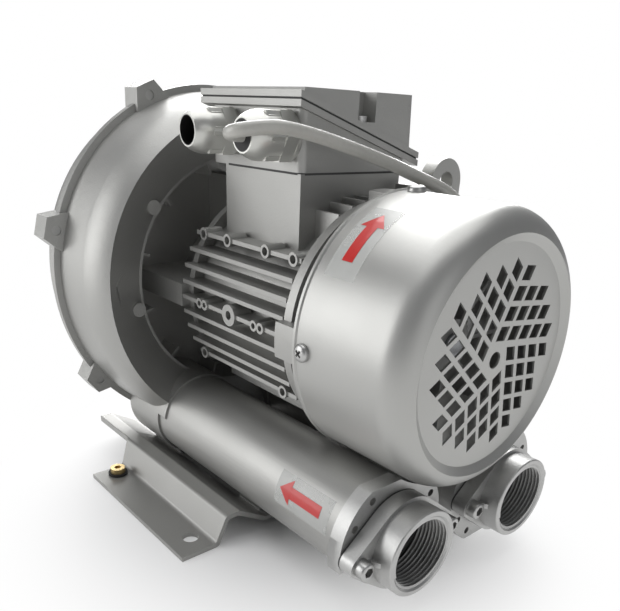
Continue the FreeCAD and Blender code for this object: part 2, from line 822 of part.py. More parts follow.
def impeller():
    """Disc with a crown of vanes that sweeps the side channel on both sides."""
    body = new_body("impeller", AXIS)
    profile = outline(new_sketch(body, "impeller_disc", "XY_Plane"), [
        (f"{JOINT} - {{impeller_hub_back}}", "{shaft_impeller_radius} + {seat_clearance}"),
        (f"{JOINT} + {{impeller_disc}} / 2", "{shaft_impeller_radius} + {seat_clearance}"),
        (f"{JOINT} + {{impeller_disc}} / 2", "{impeller_root}"),
        (f"{JOINT} + {{impeller_web}} / 2", "{impeller_root} + 3"),
        (f"{JOINT} + {{impeller_web}} / 2", "{impeller_radius}"),
        (f"{JOINT} - {{impeller_web}} / 2", "{impeller_radius}"),
        (f"{JOINT} - {{impeller_web}} / 2", "{impeller_root} + 3"),
        (f"{JOINT} - {{impeller_disc}} / 2", "{impeller_root}"),
        (f"{JOINT} - {{impeller_disc}} / 2", "{impeller_hub}"),
        (f"{JOINT} - {{impeller_hub_back}}", "{impeller_hub}"),
    ])
    turned(body, profile)
    vane = outline(new_sketch(body, "vane", "XY_Plane"), [
        (f"{JOINT} - {{impeller_width}} / 2", "{impeller_root}"),
        (f"{JOINT} + {{impeller_width}} / 2", "{impeller_root}"),
        (f"{JOINT} + {{impeller_width}} / 2", "{impeller_radius} - {vane_round}"),
        (f"{JOINT} + {{impeller_width}} / 2 - {{vane_round}}", "{impeller_radius}",
         "{vane_round}", -1),
        (f"{JOINT} - {{impeller_width}} / 2 + {{vane_round}}", "{impeller_radius}"),
        (f"{JOINT} - {{impeller_width}} / 2", "{impeller_radius} - {vane_round}",
         "{vane_round}", -1),
    ])
    blade = pad(body, vane, "{vane_thickness}", middle=True)
    crown = body.newObject("PartDesign::PolarPattern", "vane_crown")
    crown.Originals = [blade]
    crown.Axis = (vane, ["H_Axis"])
    crown.Angle = 360
    bind(crown, Occurrences="{vane_count}")
    body.Tip = crown
    doc.recompute()
    keyway = outline(new_sketch(body, "hub_keyway", "YZ_Plane", JOINT),
                     box_points("-{key_width} / 2 - {seat_clearance}", "0",
                                "{key_width} / 2 + {seat_clearance}",
                                "{shaft_impeller_radius} + {key_height} - {key_depth} + {seat_clearance}"))
    pocket(body, keyway)
    return node(body, "impeller")


def motor_shaft():
    """Stepped shaft from the impeller's stud to the cooling fan."""
    body = new_body("motor_shaft", AXIS)
    stud_end = f"{JOINT} - {{impeller_hub_back}} + 0.5 - {{shaft_stud_length}}"
    core = "{joint_x} + {frame_start} + {core_start}"
    rear = f"{FRAME_FRONT} - {{rear_bearing_width}} / 2"
    fan_end = f"{COWL_BACK} + {{fan_gap}} + {{fan_hub_length}} + 2"
    profile = outline(new_sketch(body, "shaft_outline", "XY_Plane"), [
        (stud_end, "0"),
        (stud_end, "{shaft_stud_radius}"),
        (f"{JOINT} - {{impeller_hub_back}} + 0.5", "{shaft_stud_radius}"),
        (f"{JOINT} - {{impeller_hub_back}} + 0.5", "{shaft_impeller_radius}"),
        (f"{JOINT} + {{impeller_disc}} / 2", "{shaft_impeller_radius}"),
        (f"{JOINT} + {{impeller_disc}} / 2", "{shaft_front_radius}"),
        (f"{JOINT} + {{hub_front}}", "{shaft_front_radius}"),
        (f"{JOINT} + {{hub_front}}", "{shaft_body_radius}"),
        (f"{core} + {{core_length}} + 8", "{shaft_body_radius}"),
        (rear, "{shaft_rear_radius} + 2"),
        (rear, "{shaft_rear_radius}"),
        (f"{rear} + {{rear_bearing_width}} + 1", "{shaft_rear_radius}"),
        (f"{rear} + {{rear_bearing_width}} + 1", "{shaft_fan_radius}"),
        (fan_end, "{shaft_fan_radius}"),
        (fan_end, "0"),
    ])
    turned(body, profile)
    keyway = outline(new_sketch(body, "shaft_keyway", "YZ_Plane", f"{JOINT} - {{key_length}} / 2"),
                     box_points("-{key_width} / 2 - {seat_clearance}",
                                "{shaft_impeller_radius} - {key_depth} - {seat_clearance}",
                                "{key_width} / 2 + {seat_clearance}",
                                "{shaft_impeller_radius} + 1"))
    pocket(body, keyway, "{key_length} - 1", back=True)
    return node(body, "motor_shaft")


def impeller_fasteners():
    key = block("key_bar", ("{key_length} - 2", "{key_width}", "{key_height}"),
                (f"{JOINT} - {{key_length}} / 2 + 0.3", "-{key_width} / 2",
                 "{axis_height} + {shaft_impeller_radius} - {key_depth}"))
    node(key, "impeller_key")
    back = f"{JOINT} - {{impeller_hub_back}}"
    washer = ring("impeller_washer", "{washer_radius}", "{shaft_stud_radius} + {shaft_clearance}",
                  "{washer_thickness}", f"{back} - {{washer_thickness}}")
    node(washer, "impeller_washer")
    nut = hex_rod("nut_hex", "{nut_flats}", "{nut_height}",
                  f"{back} - {{washer_thickness}} - {{nut_height}}", "0", AXIS)
    thread = rod("nut_bore", "{shaft_stud_radius} + {seat_clearance}", "{nut_height} + 2",
                 f"{back} - {{washer_thickness}} - {{nut_height}} - 1", "0", AXIS)
    node(cut("impeller_nut", nut, [thread]), "impeller_nut")


def seal_and_bearings():
    """Shaft seal, and each bearing as a shielded outer ring and an inner ring."""
    node(ring("shaft_seal", "{seal_radius}", "{shaft_front_radius} + {shaft_clearance}",
              "{seal_width} - {running_gap}", f"{JOINT} + {{floor_back}} + {{running_gap}}"),
         "shaft_seal")
    places = {
        "front": (f"{JOINT} + {{hub_front}} - {{front_bearing_width}}", "{shaft_front_radius}"),
        "rear": (f"{FRAME_FRONT} - {{rear_bearing_width}} / 2", "{shaft_rear_radius}"),
    }
    for name, (start, bore) in places.items():
        outer, width = f"{{{name}_bearing_radius}}", f"{{{name}_bearing_width}}"
        body = new_body(f"{name}_bearing_outer", AXIS)
        lip = f"{bore} + {{race_thickness}} + {{running_gap}}"
        track = f"{outer} - {{race_thickness}}"
        race = outline(new_sketch(body, f"{name}_race", "XY_Plane"), [
            (start, lip),
            (start, outer),
            (f"{start} + {width}", outer),
            (f"{start} + {width}", lip),
            (f"{start} + {width} - {{shield_thickness}}", lip),
            (f"{start} + {width} - {{shield_thickness}}", track),
            (f"{start} + {{shield_thickness}}", track),
            (f"{start} + {{shield_thickness}}", lip),
        ])
        turned(body, race)
        node(body, f"{name}_bearing_outer")
        node(ring(f"{name}_inner", f"{bore} + {{race_thickness}}", f"{bore} + {{seat_clearance}}",
                  width, start), f"{name}_bearing_inner")


def rotor_and_stator():
    """Rotor on the shaft, laminated stator in the frame, and its two winding heads."""
    start = "({joint_x} + {frame_start} + {core_start})"
    node(ring("rotor_core", "{rotor_radius}", "{shaft_body_radius} + {seat_clearance}",
              "{core_length}", start), "rotor_core")
    node(ring("stator_core", "{frame_bore} - {core_clearance}", "{rotor_radius} + {air_gap}",
              "{core_length}", start), "stator_core")
    heads = [ring(f"winding_{n}", "{winding_outer}", "{winding_inner}", "{winding_length}", x)
             for n, x in enumerate((f"{start} - {{winding_length}}", f"{start} + {{core_length}}"))]
    node(group("winding_heads", heads), "stator_windings")


def finned_frame():
    """Finned motor frame with its bosses, pedestal and lifting eye."""
    solids = [
        rod("frame_tube", "{frame_radius}", "{frame_length}", FRAME_BACK, "0", AXIS),
        rod("frame_rear_ring", "{frame_ring_radius}", "{frame_ring_thickness}",
            FRAME_BACK, "0", AXIS),
        rod("frame_front_ring", "{frame_ring_radius}", "{frame_ring_thickness}",
            f"{FRAME_FRONT} - {{frame_ring_thickness}}", "0", AXIS),
    ]
    cavities = [rod("frame_bore", "{frame_bore}", "{frame_length} + 2", f"{FRAME_BACK} - 1",
                    "0", AXIS)]
    rows = int(value("{fin_rows}"))
    for n in range(-rows, rows + 1):
        half = f"sqrt({{fin_radius}} * {{fin_radius}} - {n * n} * {{fin_pitch}} * {{fin_pitch}})"
        solids.append(block(
            f"side_fin_{n + rows}", ("{frame_length} - 2", f"2 * {half}", "{fin_thickness}"),
            (f"{FRAME_BACK} + 1", f"-{half}", f"{AXIS} + {n} * {{fin_pitch}} - {{fin_thickness}} / 2")))
    columns = int(value("{fin_columns}"))
    for n in range(-columns, columns + 1):
        half = f"sqrt({{fin_radius}} * {{fin_radius}} - {n * n} * {{fin_pitch}} * {{fin_pitch}})"
        solids.append(block(
            f"top_fin_{n + columns}", ("{frame_length} - 2", "{fin_thickness}", f"2 * {half}"),
            (f"{FRAME_BACK} + 1", f"{n} * {{fin_pitch}} - {{fin_thickness}} / 2", f"{AXIS} - {half}")))

    # Cast bosses on the upper, middle and lower fins of both sides
    middle = f"({FRAME_BACK} + {{frame_length}} / 2)"
    edge = "({fin_rows} * {fin_pitch})"
    tip = f"sqrt({{fin_radius}} * {{fin_radius}} - {edge} * {edge})"
    boss_rows = (
        ("upper", 4, "fin", edge, tip),
        ("lower", 2, "fin", f"-{edge}", tip),
        ("twin", 4, "twin", "0", "{fin_radius}"),
        ("earth", 1, "earth", "0", "{fin_radius}"),
    )
    for row, count, kind, height, reach in boss_rows:
        face = f"({reach} + {{fin_boss_proud}})"
        starts = {"near": (f"-{face}", f"-{face} - 0.5"),
                  "far": (f"{face} - {{fin_boss_depth}}", f"{face} - {{fin_boss_tap}}")}
        for n in range(1, count + 1):
            x = f"{middle} + {{{row}_boss_{n}}}"
            for side, (boss_y, tap_y) in starts.items():
                solids.append(rod(f"{row}_boss_{side}_{n}", f"{{{kind}_boss_radius}}",
                                  "{fin_boss_depth}", x, boss_y, f"{AXIS} + {height}", axis="y"))
                cavities.append(rod(f"{row}_tap_{side}_{n}", f"{{{kind}_boss_hole}}",
                                    "{fin_boss_tap} + 0.5", x, tap_y, f"{AXIS} + {height}",
                                    axis="y"))

    pedestal = block("pedestal_block",
                     ("{pedestal_length}", "{pedestal_near} + {pedestal_far}",
                      "{pedestal_height} - {pedestal_foot}"),
                     (f"{FRAME_BACK} + {{pedestal_start}}", "-{pedestal_near}",
                      f"{AXIS} + {{pedestal_foot}}"))
    solids.append(pedestal)
    cavities.append(rod("wire_hole", "{wire_hole_radius}", "{pedestal_height} + 2",
                        f"{FRAME_BACK} + {{pedestal_start}} + {{pedestal_length}} / 2", "0",
                        AXIS, axis="z"))

    # Lifting eye beside the pedestal, with the web that joins it to the frame
    eye_x = f"{FRAME_BACK} + {{eye_station}}"
    eye_z = f"{AXIS} + {{eye_z}}"
    solids.append(rod("eye_disc", "{eye_radius}", "{eye_thickness}", eye_x, "{eye_y}", eye_z))
    solids.append(block("eye_post", ("{eye_thickness}", "2 * {eye_radius}", "{eye_z} - 24"),
                        (eye_x, "{eye_y} - {eye_radius}", f"{AXIS} + 24")))
    solids.append(block("eye_web", ("{eye_thickness}", "{eye_y} - {pedestal_far} + 2", "34"),
                        (eye_x, "{pedestal_far} - 4", f"{AXIS} + {{eye_z}} - 34")))
    cavities.append(rod("eye_hole", "{eye_hole_radius}", "{eye_thickness} + 2",
                        f"{eye_x} - 1", "{eye_y}", eye_z))
    frame = cut("motor_frame", fuse("frame_solids", solids), [fuse("frame_cavities", cavities)])
    return node(frame, "motor_frame")


def fan_end_shield():
    """Bearing shield at the fan end, with four pads that carry the cowl."""
    body = new_body("fan_end_shield", AXIS)
    hub_back = f"{FRAME_FRONT} - {{rear_bearing_width}} / 2"
    hub_front = f"{FRAME_FRONT} + {{rear_bearing_width}} / 2"
    profile = outline(new_sketch(body, "shield_outline", "XY_Plane"), [
        (hub_back, "{rear_bearing_radius} + {seat_clearance}"),
        (hub_back, "{shield_hub_radius}"),
        (FRAME_FRONT, "{shield_hub_radius}"),
        (FRAME_FRONT, "{shield_radius}"),
        (f"{FRAME_FRONT} + {{shield_plate}}", "{shield_radius}"),
        (f"{FRAME_FRONT} + {{shield_plate}}", "{shield_hub_radius}"),
        (f"{hub_front} + 2", "{shield_hub_radius}"),
        (f"{hub_front} + 2", "{shaft_rear_radius} + 3"),
        (hub_front, "{shaft_rear_radius} + 3"),
        (hub_front, "{rear_bearing_radius} + {seat_clearance}"),
    ])
    turned(body, profile)
    seats = "({cowl_radius} - {cowl_sheet} - {piece_gap} / 2)"
    pads = outline(new_sketch(body, "cowl_pads", "YZ_Plane", FRAME_FRONT), [
        ("{pad_root}", "-{pad_width} / 2"),
        (f"sqrt({seats} * {seats} - {{pad_width}} * {{pad_width}} / 4)", "-{pad_width} / 2"),
        (f"sqrt({seats} * {seats} - {{pad_width}} * {{pad_width}} / 4)", "{pad_width} / 2",
         seats, -1),
        ("{pad_root}", "{pad_width} / 2"),
    ])
    around(body, [pad(body, pads, "{pad_reach}")], pads, "4")
    taps = circles(new_sketch(body, "cowl_taps", "XY_Plane", "{pad_root}"),
                   [(f"{COWL_BACK} + {{cowl_screw_station}}", "0")],
                   "{cowl_screw_radius} + {seat_clearance}")
    tap = pocket(body, taps, "{cowl_radius} - {pad_root}", back=True)
    ring_taps = body.newObject("PartDesign::PolarPattern", "cowl_tap_ring")
    ring_taps.Originals = [tap]
    ring_taps.Axis = (profile, ["H_Axis"])
    ring_taps.Angle = 360
    ring_taps.Occurrences = 4
    body.Tip = ring_taps
    doc.recompute()
    return node(body, "fan_end_shield")


def cooling_fan():
    body = new_body("cooling_fan", AXIS)
    start = f"{COWL_BACK} + {{fan_gap}}"
    profile = outline(new_sketch(body, "fan_hub", "XY_Plane"), [
        (start, "{shaft_fan_radius} + {seat_clearance}"),
        (start, "{fan_disc_radius}"),
        (f"{start} + {{fan_disc_thickness}}", "{fan_disc_radius}"),
        (f"{start} + {{fan_disc_thickness}}", "{fan_hub_radius} + 2"),
        (f"{start} + {{fan_hub_length}}", "{fan_hub_radius}"),
        (f"{start} + {{fan_hub_length}}", "{shaft_fan_radius} + {seat_clearance}"),
    ])
    turned(body, profile)
    blade = outline(new_sketch(body, "fan_blade", "XY_Plane"), [
        (start, "{fan_hub_radius} - 2"),
        (start, "{fan_radius} - 4"),
        (f"{start} + 4", "{fan_radius}"),
        (f"{start} + {{fan_blade_width}}", "{fan_radius}"),
        (f"{start} + {{fan_blade_width}}", "{fan_hub_radius} - 2"),
    ])
    first = pad(body, blade, "{fan_blade_thickness}", middle=True)
    blades = body.newObject("PartDesign::PolarPattern", "fan_blades")
    blades.Originals = [first]
    blades.Axis = (blade, ["H_Axis"])
    blades.Angle = 360
    bind(blades, Occurrences="{fan_blade_count}")
    body.Tip = blades
    doc.recompute()
    return node(body, "cooling_fan")


def fan_cowl():
    """Pressed sheet cowl; its guard is a pinwheel of five fields of rhombic holes."""
    body = new_body("fan_cowl", AXIS)
    t = "{cowl_sheet}"
    face = f"({GUARD})"
    crest = f"({GUARD} + {{cowl_crest}})"
    bend = f"({GUARD} + {{cowl_crest}} - {{cowl_shoulder}})"
    # The shoulder is an arc that leaves the wall square and ends at the crest
    rise = "({cowl_radius} - {cowl_crest_radius})"
    arc = f"(({{cowl_shoulder}} * {{cowl_shoulder}} + {rise} * {rise}) / (2 * {rise}))"
    shell = outline(new_sketch(body, "cowl_shell", "XY_Plane"), [
        (COWL_BACK, f"{{cowl_band_radius}} - {t}"),
        (COWL_BACK, "{cowl_band_radius}"),
        (f"{COWL_BACK} + {{cowl_band_width}}", "{cowl_band_radius}"),
        (f"{COWL_BACK} + {{cowl_band_width}} + 0.8", "{cowl_radius}"),
        (bend, "{cowl_radius}"),
        (crest, "{cowl_crest_radius}", arc, 1),
        (face, "{guard_radius}"),
        (face, "0"),
        (f"{face} - {t}", "0"),
        (f"{face} - {t}", f"{{guard_radius}} + {t} / 2"),
        (f"{crest} - {t} * 1.2", f"{{cowl_crest_radius}} - {t} / 2"),
        (bend, f"{{cowl_radius}} - {t}", f"{arc} - {t}", -1),
        (f"{COWL_BACK} + {{cowl_band_width}} + 0.8", f"{{cowl_radius}} - {t}"),
        (f"{COWL_BACK} + {{cowl_band_width}}", f"{{cowl_band_radius}} - {t}"),
    ])
    turned(body, shell)

    eye = circles(new_sketch(body, "guard_centre", "YZ_Plane", face), [("0", "0")],
                  "{guard_centre_hole}")
    pocket(body, eye, "{cowl_sheet} + 1")
    # Each field has rows of 5, 4, 3 and 1 holes along its own edge
    lean = "72 deg"
    for n, holes in enumerate((5, 4, 3, 1)):
        shift = f"({{guard_first_row}} + {n} * {{guard_row_pitch}})"
        corners = []
        for a, b in ((-1, -1), (1, -1), (1, 1), (-1, 1)):
            across = f"({shift} + {b} * {{guard_hole}} / 2)"
            along = f"({{guard_first}} + {a} * {{guard_hole}} / 2)"
            corners.append((f"{along} + {across} * cos({lean})", f"{across} * sin({lean})"))
        hole = outline(new_sketch(body, f"guard_row_{n}", "YZ_Plane", face, "{guard_angle}"),
                       corners)
        first = pocket(body, hole, "{cowl_sheet} + 1")
        field = body.newObject("PartDesign::MultiTransform", f"guard_field_{n}")
        turn = body.newObject("PartDesign::PolarPattern", f"guard_turn_{n}")
        turn.Axis = (hole, ["N_Axis"])
        turn.Angle = 360
        turn.Occurrences = 5
        steps = [turn]
        if holes > 1:
            along = body.newObject("PartDesign::LinearPattern", f"guard_step_{n}")
            along.Direction = (hole, ["H_Axis"])
            along.Mode = "Spacing"
            along.Occurrences = holes
            bind(along, Offset="{guard_pitch}")
            steps.insert(0, along)
        field.Originals = [first]
        field.Transformations = steps
        body.Tip = field
        doc.recompute()

    screw_holes = circles(new_sketch(body, "cowl_screw_holes", "XY_Plane"),
                          [(f"{COWL_BACK} + {{cowl_screw_station}}", "0")],
                          "{cowl_screw_radius} + 0.3")
    first = pocket(body, screw_holes)
    holes = body.newObject("PartDesign::PolarPattern", "cowl_screw_hole_ring")
    holes.Originals = [first]
    holes.Axis = (shell, ["H_Axis"])
    holes.Angle = 360
    holes.Occurrences = 4
    body.Tip = holes
    doc.recompute()
    return node(body, "fan_cowl")


def cowl_screws():
    """Pan head screws at the cowl's back, one in each pad of the end shield."""
    screws = []
    station = f"{COWL_BACK} + {{cowl_screw_station}}"
    for n in range(4):
        body = new_body(f"cowl_screw_{n}", AXIS)
        profile = outline(new_sketch(body, f"cowl_screw_outline_{n}", "XZ_Plane"), [
            (station, "{cowl_radius} - {cowl_screw_length}"),
            (f"{station} + {{cowl_screw_radius}}", "{cowl_radius} - {cowl_screw_length}"),
            (f"{station} + {{cowl_screw_radius}}", "{cowl_radius}"),
            (f"{station} + {{cowl_screw_head}}", "{cowl_radius}"),
            (f"{station} + {{cowl_screw_head}}", "{cowl_radius} + 1.2"),
            (f"{station} + {{cowl_screw_head}} - 2.4", "{cowl_radius} + {cowl_screw_head_height}"),
            (station, "{cowl_radius} + {cowl_screw_head_height}"),
        ])
        axis_line = body.newObject("PartDesign::Line", f"cowl_screw_axis_{n}")
        bind(axis_line, Placement__Base__x=station)
        feature = body.newObject("PartDesign::Revolution", f"cowl_screw_turn_{n}")
        feature.Profile = profile
        feature.ReferenceAxis = (axis_line, [""])
        feature.Angle = 360
        doc.recompute()
        body.Placement = FreeCAD.Placement(V(0, 0, value(AXIS)),
                                           FreeCAD.Rotation(V(1, 0, 0), 90 * n))
        screws.append(body)
    return node(group("cowl_screws", screws), "cowl_screws")


# Terminal box, whose parting plane slopes down towards +Y

BOX_X = "({joint_x} + {frame_start} + {box_start})"


def parting(y, rise="0"):
    """Height of the parting plane, or of a plane parallel to it, above a y."""
    return f"({{parting_height}} - {{parting_slope}} * ({y}) + ({rise}))"


def prism_between(body, name, bottom, top, near, far, start, length, op=pad, top_inset="0"):
    """Prism along X whose section runs from a bottom to a top height line."""
    sketch = outline(new_sketch(body, name, "YZ_Plane", start), [
        (f"-({near})", bottom(f"-({near})")),
        (far, bottom(far)),
        (f"({far}) - ({top_inset})", top(far)),
        (f"-({near}) + ({top_inset})", top(f"-({near})")),
    ])
    return op(body, sketch, length)


def cut_ahead(body, sketch, length):
    """Pocket that cuts towards +X."""
    return pocket(body, sketch, length, back=True)


def terminal_box():
    body = new_body("terminal_box_shell", AXIS)
    floor = lambda y: "{pedestal_height}"
    under_rim = lambda y: parting(y, "-{gasket_thickness} / 2 - {rim_height}")
    top = lambda y: parting(y, "-{gasket_thickness} / 2")
    over = lambda y: parting(y, "5")
    prism_between(body, "box_wall_outside", floor, top, "{box_near}", "{box_far}",
                  BOX_X, "{box_length}")
    fillet(body, lambda e: abs(e.tangentAt(e.FirstParameter).z) > 0.99, "{box_round}")
    prism_between(body, "box_rim", under_rim, top, "{rim_near}", "{rim_far}",
                  f"{BOX_X} - {{rim_back}}", "{box_length} + {rim_back} + {rim_front}")
    inside = lambda y: "{pedestal_height} + {box_wall}"
    prism_between(body, "box_inside", inside, over, "{box_near} - {box_wall}",
                  "{box_far} - {box_wall}", f"{BOX_X} + {{box_wall}}",
                  "{box_length} - 2 * {box_wall}", op=cut_ahead)
    wires = circles(new_sketch(body, "box_wire_hole", "XY_Plane", "{pedestal_height}"),
                    [(f"{FRAME_BACK} + {{pedestal_start}} + {{pedestal_length}} / 2", "0")],
                    "{wire_hole_radius}")
    pocket(body, wires, "{box_wall} + 1", back=True)
    holes = [rod(f"gland_hole_{name}", "{gland_thread_radius} + {gland_hole_clearance}",
                 "{box_wall} + 2", f"{FRAME_BACK} + {{gland_{name}_station}}",
                 "-{box_near} - 1", f"{AXIS} + {{gland_height}}", axis="y")
             for name in ("one", "two")]
    holes += [rod(f"box_screw_hole_{n}", "{lid_screw_radius} + {seat_clearance}", "12",
                  x, "{lid_screw_y}",
                  f"{AXIS} + {parting('{lid_screw_y}', '-12')}", axis="z")
              for n, x in enumerate(lid_screw_places())]
    bosses = [rod(f"box_screw_boss_{n}", "{lid_screw_radius} + 2.5",
                  f"{parting('{lid_screw_y}', '-2 - {gasket_thickness} / 2')} - {{pedestal_height}}",
                  x, "{lid_screw_y}", f"{AXIS} + {{pedestal_height}}", axis="z")
              for n, x in enumerate(lid_screw_places())]
    shell = fuse("terminal_box_bossed", [body] + bosses)
    return node(cut("terminal_box", shell, holes), "terminal_box")


def lid_screw_places():
    return (f"{BOX_X} + {{box_wall}} + {{lid_screw_radius}} + 0.5",
            f"{BOX_X} + {{box_length}} - {{box_wall}} - {{lid_screw_radius}} - 0.5")


def lid_gasket():
    body = new_body("lid_gasket_body", AXIS)
    low = lambda y: parting(y, "-{gasket_thickness} / 2")
    high = lambda y: parting(y, "{gasket_thickness} / 2")
    over = lambda y: parting(y, "5")
    under = lambda y: parting(y, "-5")
    prism_between(body, "gasket_outside", low, high, "{rim_near} - {gasket_inset}",
                  "{rim_far} - {gasket_inset}", f"{BOX_X} - {{rim_back}} + {{gasket_inset}}",
                  "{box_length} + {rim_back} + {rim_front} - 2 * {gasket_inset}")
    prism_between(body, "gasket_inside", under, over, "{box_near} - {box_wall}",
                  "{box_far} - {box_wall}", f"{BOX_X} + {{box_wall}} + 7",
                  "{box_length} - 2 * {box_wall} - 14", op=cut_ahead)
    holes = [rod(f"gasket_screw_hole_{n}", "{lid_screw_radius} + 0.3", "20", x, "{lid_screw_y}",
                 f"{AXIS} + {parting('{lid_screw_y}', '-10')}", axis="z")
             for n, x in enumerate(lid_screw_places())]
    return node(cut("lid_gasket", body, holes), "lid_gasket")


def terminal_lid():
    """Wedge shaped lid: a level top over the sloping parting plane."""
    body = new_body("terminal_lid_shell", AXIS)
    bottom = lambda y: parting(y, "{gasket_thickness} / 2")
    rim_top = lambda y: parting(y, "{gasket_thickness} / 2 + {rim_height}")
    level = lambda y: "{lid_height}"
    ceiling = lambda y: "{lid_height} - {box_wall}"
    prism_between(body, "lid_wall_outside", bottom, level, "{box_near} + 0.8", "{box_far} + 5",
                  BOX_X, "{box_length}", top_inset="{lid_inset}")
    fillet(body, lambda e: abs(e.tangentAt(e.FirstParameter).z) > 0.95, "{box_round}")
    prism_between(body, "lid_rim", bottom, rim_top, "{rim_near}", "{rim_far}",
                  f"{BOX_X} - {{rim_back}}", "{box_length} + {rim_back} + {rim_front}")
    under = lambda y: parting(y, "-5")
    inside = outline(new_sketch(body, "lid_inside", "YZ_Plane", f"{BOX_X} + {{box_wall}} + 10"), [
        ("-({box_near} - {box_wall} - 2)", under("-({box_near} - {box_wall} - 2)")),
        ("{box_far} - {box_wall}", under("{box_far} - {box_wall}")),
        ("{box_far} - {box_wall}", "{lid_height} - {box_wall}"),
        ("-({box_near} - {box_wall} - 2)", "{lid_height} - {box_wall}"),
    ])
    cut_ahead(body, inside, "{box_length} - 2 * {box_wall} - 20")
    channels, screws = [], []
    for n, x in enumerate(lid_screw_places()):
        start = (f"{BOX_X} - 1" if n == 0
                 else f"{BOX_X} + {{box_length}} - {{lid_channel_depth}} - {{box_wall}}")
        channels.append(block(
            f"lid_channel_{n}",
            ("{lid_channel_depth} + {box_wall} + 1", "{lid_channel_width}", "40"),
            (start, "{lid_screw_y} - {lid_channel_width} / 2",
             f"{AXIS} + {parting('{lid_screw_y}', '{rim_height} + 2')}")))
        screws.append(rod(f"lid_screw_hole_{n}", "{lid_screw_radius} + 0.3", "30", x,
                          "{lid_screw_y}", f"{AXIS} + {parting('{lid_screw_y}', '-10')}", axis="z"))
    return node(cut("terminal_lid", body, channels + screws), "terminal_lid")


def lid_screws():
    screws = []
    for n, x in enumerate(lid_screw_places()):
        seat = f"{AXIS} + {parting('{lid_screw_y}', '{rim_height} + 2')}"
        shank = rod(f"lid_shank_{n}", "{lid_screw_radius}", "{lid_screw_length}", x,
                    "{lid_screw_y}", f"{seat} - {{lid_screw_length}}", axis="z")
        head = rod(f"lid_head_{n}", "{lid_screw_head}", "{lid_screw_head_height}", x,
                   "{lid_screw_y}", seat, axis="z")
        screws.append(fuse(f"lid_screw_{n}", [shank, head]))
    return node(group("lid_screws", screws), "lid_screws")


def box_contents():
    """Terminal block and run capacitor on the floor of the terminal box."""
    floor = f"{AXIS} + {{pedestal_height}} + {{box_wall}}"
    corner_x = (f"({BOX_X} + {{box_length}} - {{box_wall}} - {{terminal_block_length}}"
                " - {terminal_block_x_margin})")
    corner_y = "(-{box_near} + {box_wall} + {terminal_block_y_margin})"
    base = block("terminal_base", ("{terminal_block_length}", "{terminal_block_width}",
                                   "{terminal_block_height}"), (corner_x, corner_y, floor))
    studs = [rod(f"terminal_stud_{row}{n}", "{terminal_stud_radius}",
                 "{terminal_stud_height} + 1",
                 f"{corner_x} + {{terminal_stud_x}} + {n} * {{terminal_stud_pitch}}",
                 f"{corner_y} + {{terminal_stud_y}} + {row} * {{terminal_stud_row_pitch}}",
                 f"{floor} + {{terminal_block_height}} - 1", axis="z")
             for row in range(2) for n in range(3)]
    node(fuse("terminal_block", [base] + studs), "terminal_block")
    # The capacitor lies along X against the far wall
    can = rod("capacitor_can", "{capacitor_radius}", "{capacitor_length}",
              f"{BOX_X} + ({{box_length}} - {{capacitor_length}}) / 2",
              "{box_far} - {box_wall} - {capacitor_radius} - 5",
              f"{floor} + {{capacitor_radius}}")
    node(can, "run_capacitor")


def gland(name, number, bore):
    """Cable gland: hexagonal body, domed cap with a hexagonal grip, and rubber seal."""
    x = f"{FRAME_BACK} + {{gland_{name}_station}}"
    z = f"{AXIS} + {{gland_height}}"
    face = "-{box_near}"
    flange = rod(f"gland_{number}_flange", "{gland_flange_radius}", "{gland_flange_width}",
                 x, f"{face} - {{gland_flange_width}}", z, axis="y")
    hexagon = hex_rod(f"gland_{number}_hex", "{gland_flats}",
                      "{gland_body_width} - {gland_flange_width}",
                      x, f"{face} - {{gland_body_width}}", z, axis="y")
    thread = rod(f"gland_{number}_thread", "{gland_thread_radius}", "{gland_thread_length}",
                 x, f"{face} - 1", z, axis="y")
    throat = rod(f"gland_{number}_throat", "{gland_mouth_radius}", "60", x, f"{face} - 30", z,
                 axis="y")
    shell = fuse(f"gland_{number}_solid", [flange, hexagon, thread])
    node(cut(f"gland_{number}_body", shell, [throat]), f"gland_{number}_body")
    dome = new_body(f"gland_{number}_dome")
    bind(dome, Placement__Base__x=x, Placement__Base__y=f"{face} - {{gland_body_width}}",
         Placement__Base__z=z)
    length, bend = "{gland_cap_length}", "{gland_cap_round}"
    profile = outline(new_sketch(dome, f"dome_{number}_outline", "XY_Plane"), [
        ("0", "0"),
        ("0", f"-{length}"),
        ("{gland_cap_mouth}", f"-{length}"),
        ("{gland_cap_radius}", f"-{length} + {bend}", "{gland_cap_round} * 1.6", -1),
        ("{gland_cap_radius}", "0"),
    ])
    feature = dome.newObject("PartDesign::Revolution", f"dome_{number}_turn")
    feature.Profile = profile
    feature.ReferenceAxis = (profile, ["V_Axis"])
    feature.Angle = 360
    doc.recompute()
    grip = hex_rod(f"gland_{number}_grip", "{gland_cap_flats}", "{gland_cap_grip}", x,
                   f"{face} - {{gland_body_width}} - {{gland_cap_grip}}", z, axis="y")
    mouth = rod(f"gland_{number}_mouth", "{gland_mouth_radius}", "{gland_cap_length} + 2", x,
                f"{face} - {{gland_body_width}} - {{gland_cap_length}} - 1", z, axis="y")
    node(cut(f"gland_{number}_cap", fuse(f"gland_{number}_cap_solid", [dome, grip]), [mouth]),
         f"gland_{number}_cap")

    start = f"{face} - {{gland_body_width}} - {{gland_cap_length}}"
    deep = "{gland_open_seal_depth}" if name == "one" else "0"
    rubber = rod(f"gland_{number}_rubber", "{gland_mouth_radius} - {seat_clearance}",
                 "{gland_seal_length}", x, f"{start} + {deep}", z, axis="y")
    core = rod(f"gland_{number}_core", bore, "60", x, f"{start} - 10", z, axis="y")
    node(cut(f"gland_{number}_seal", rubber, [core]), f"gland_{number}_seal")


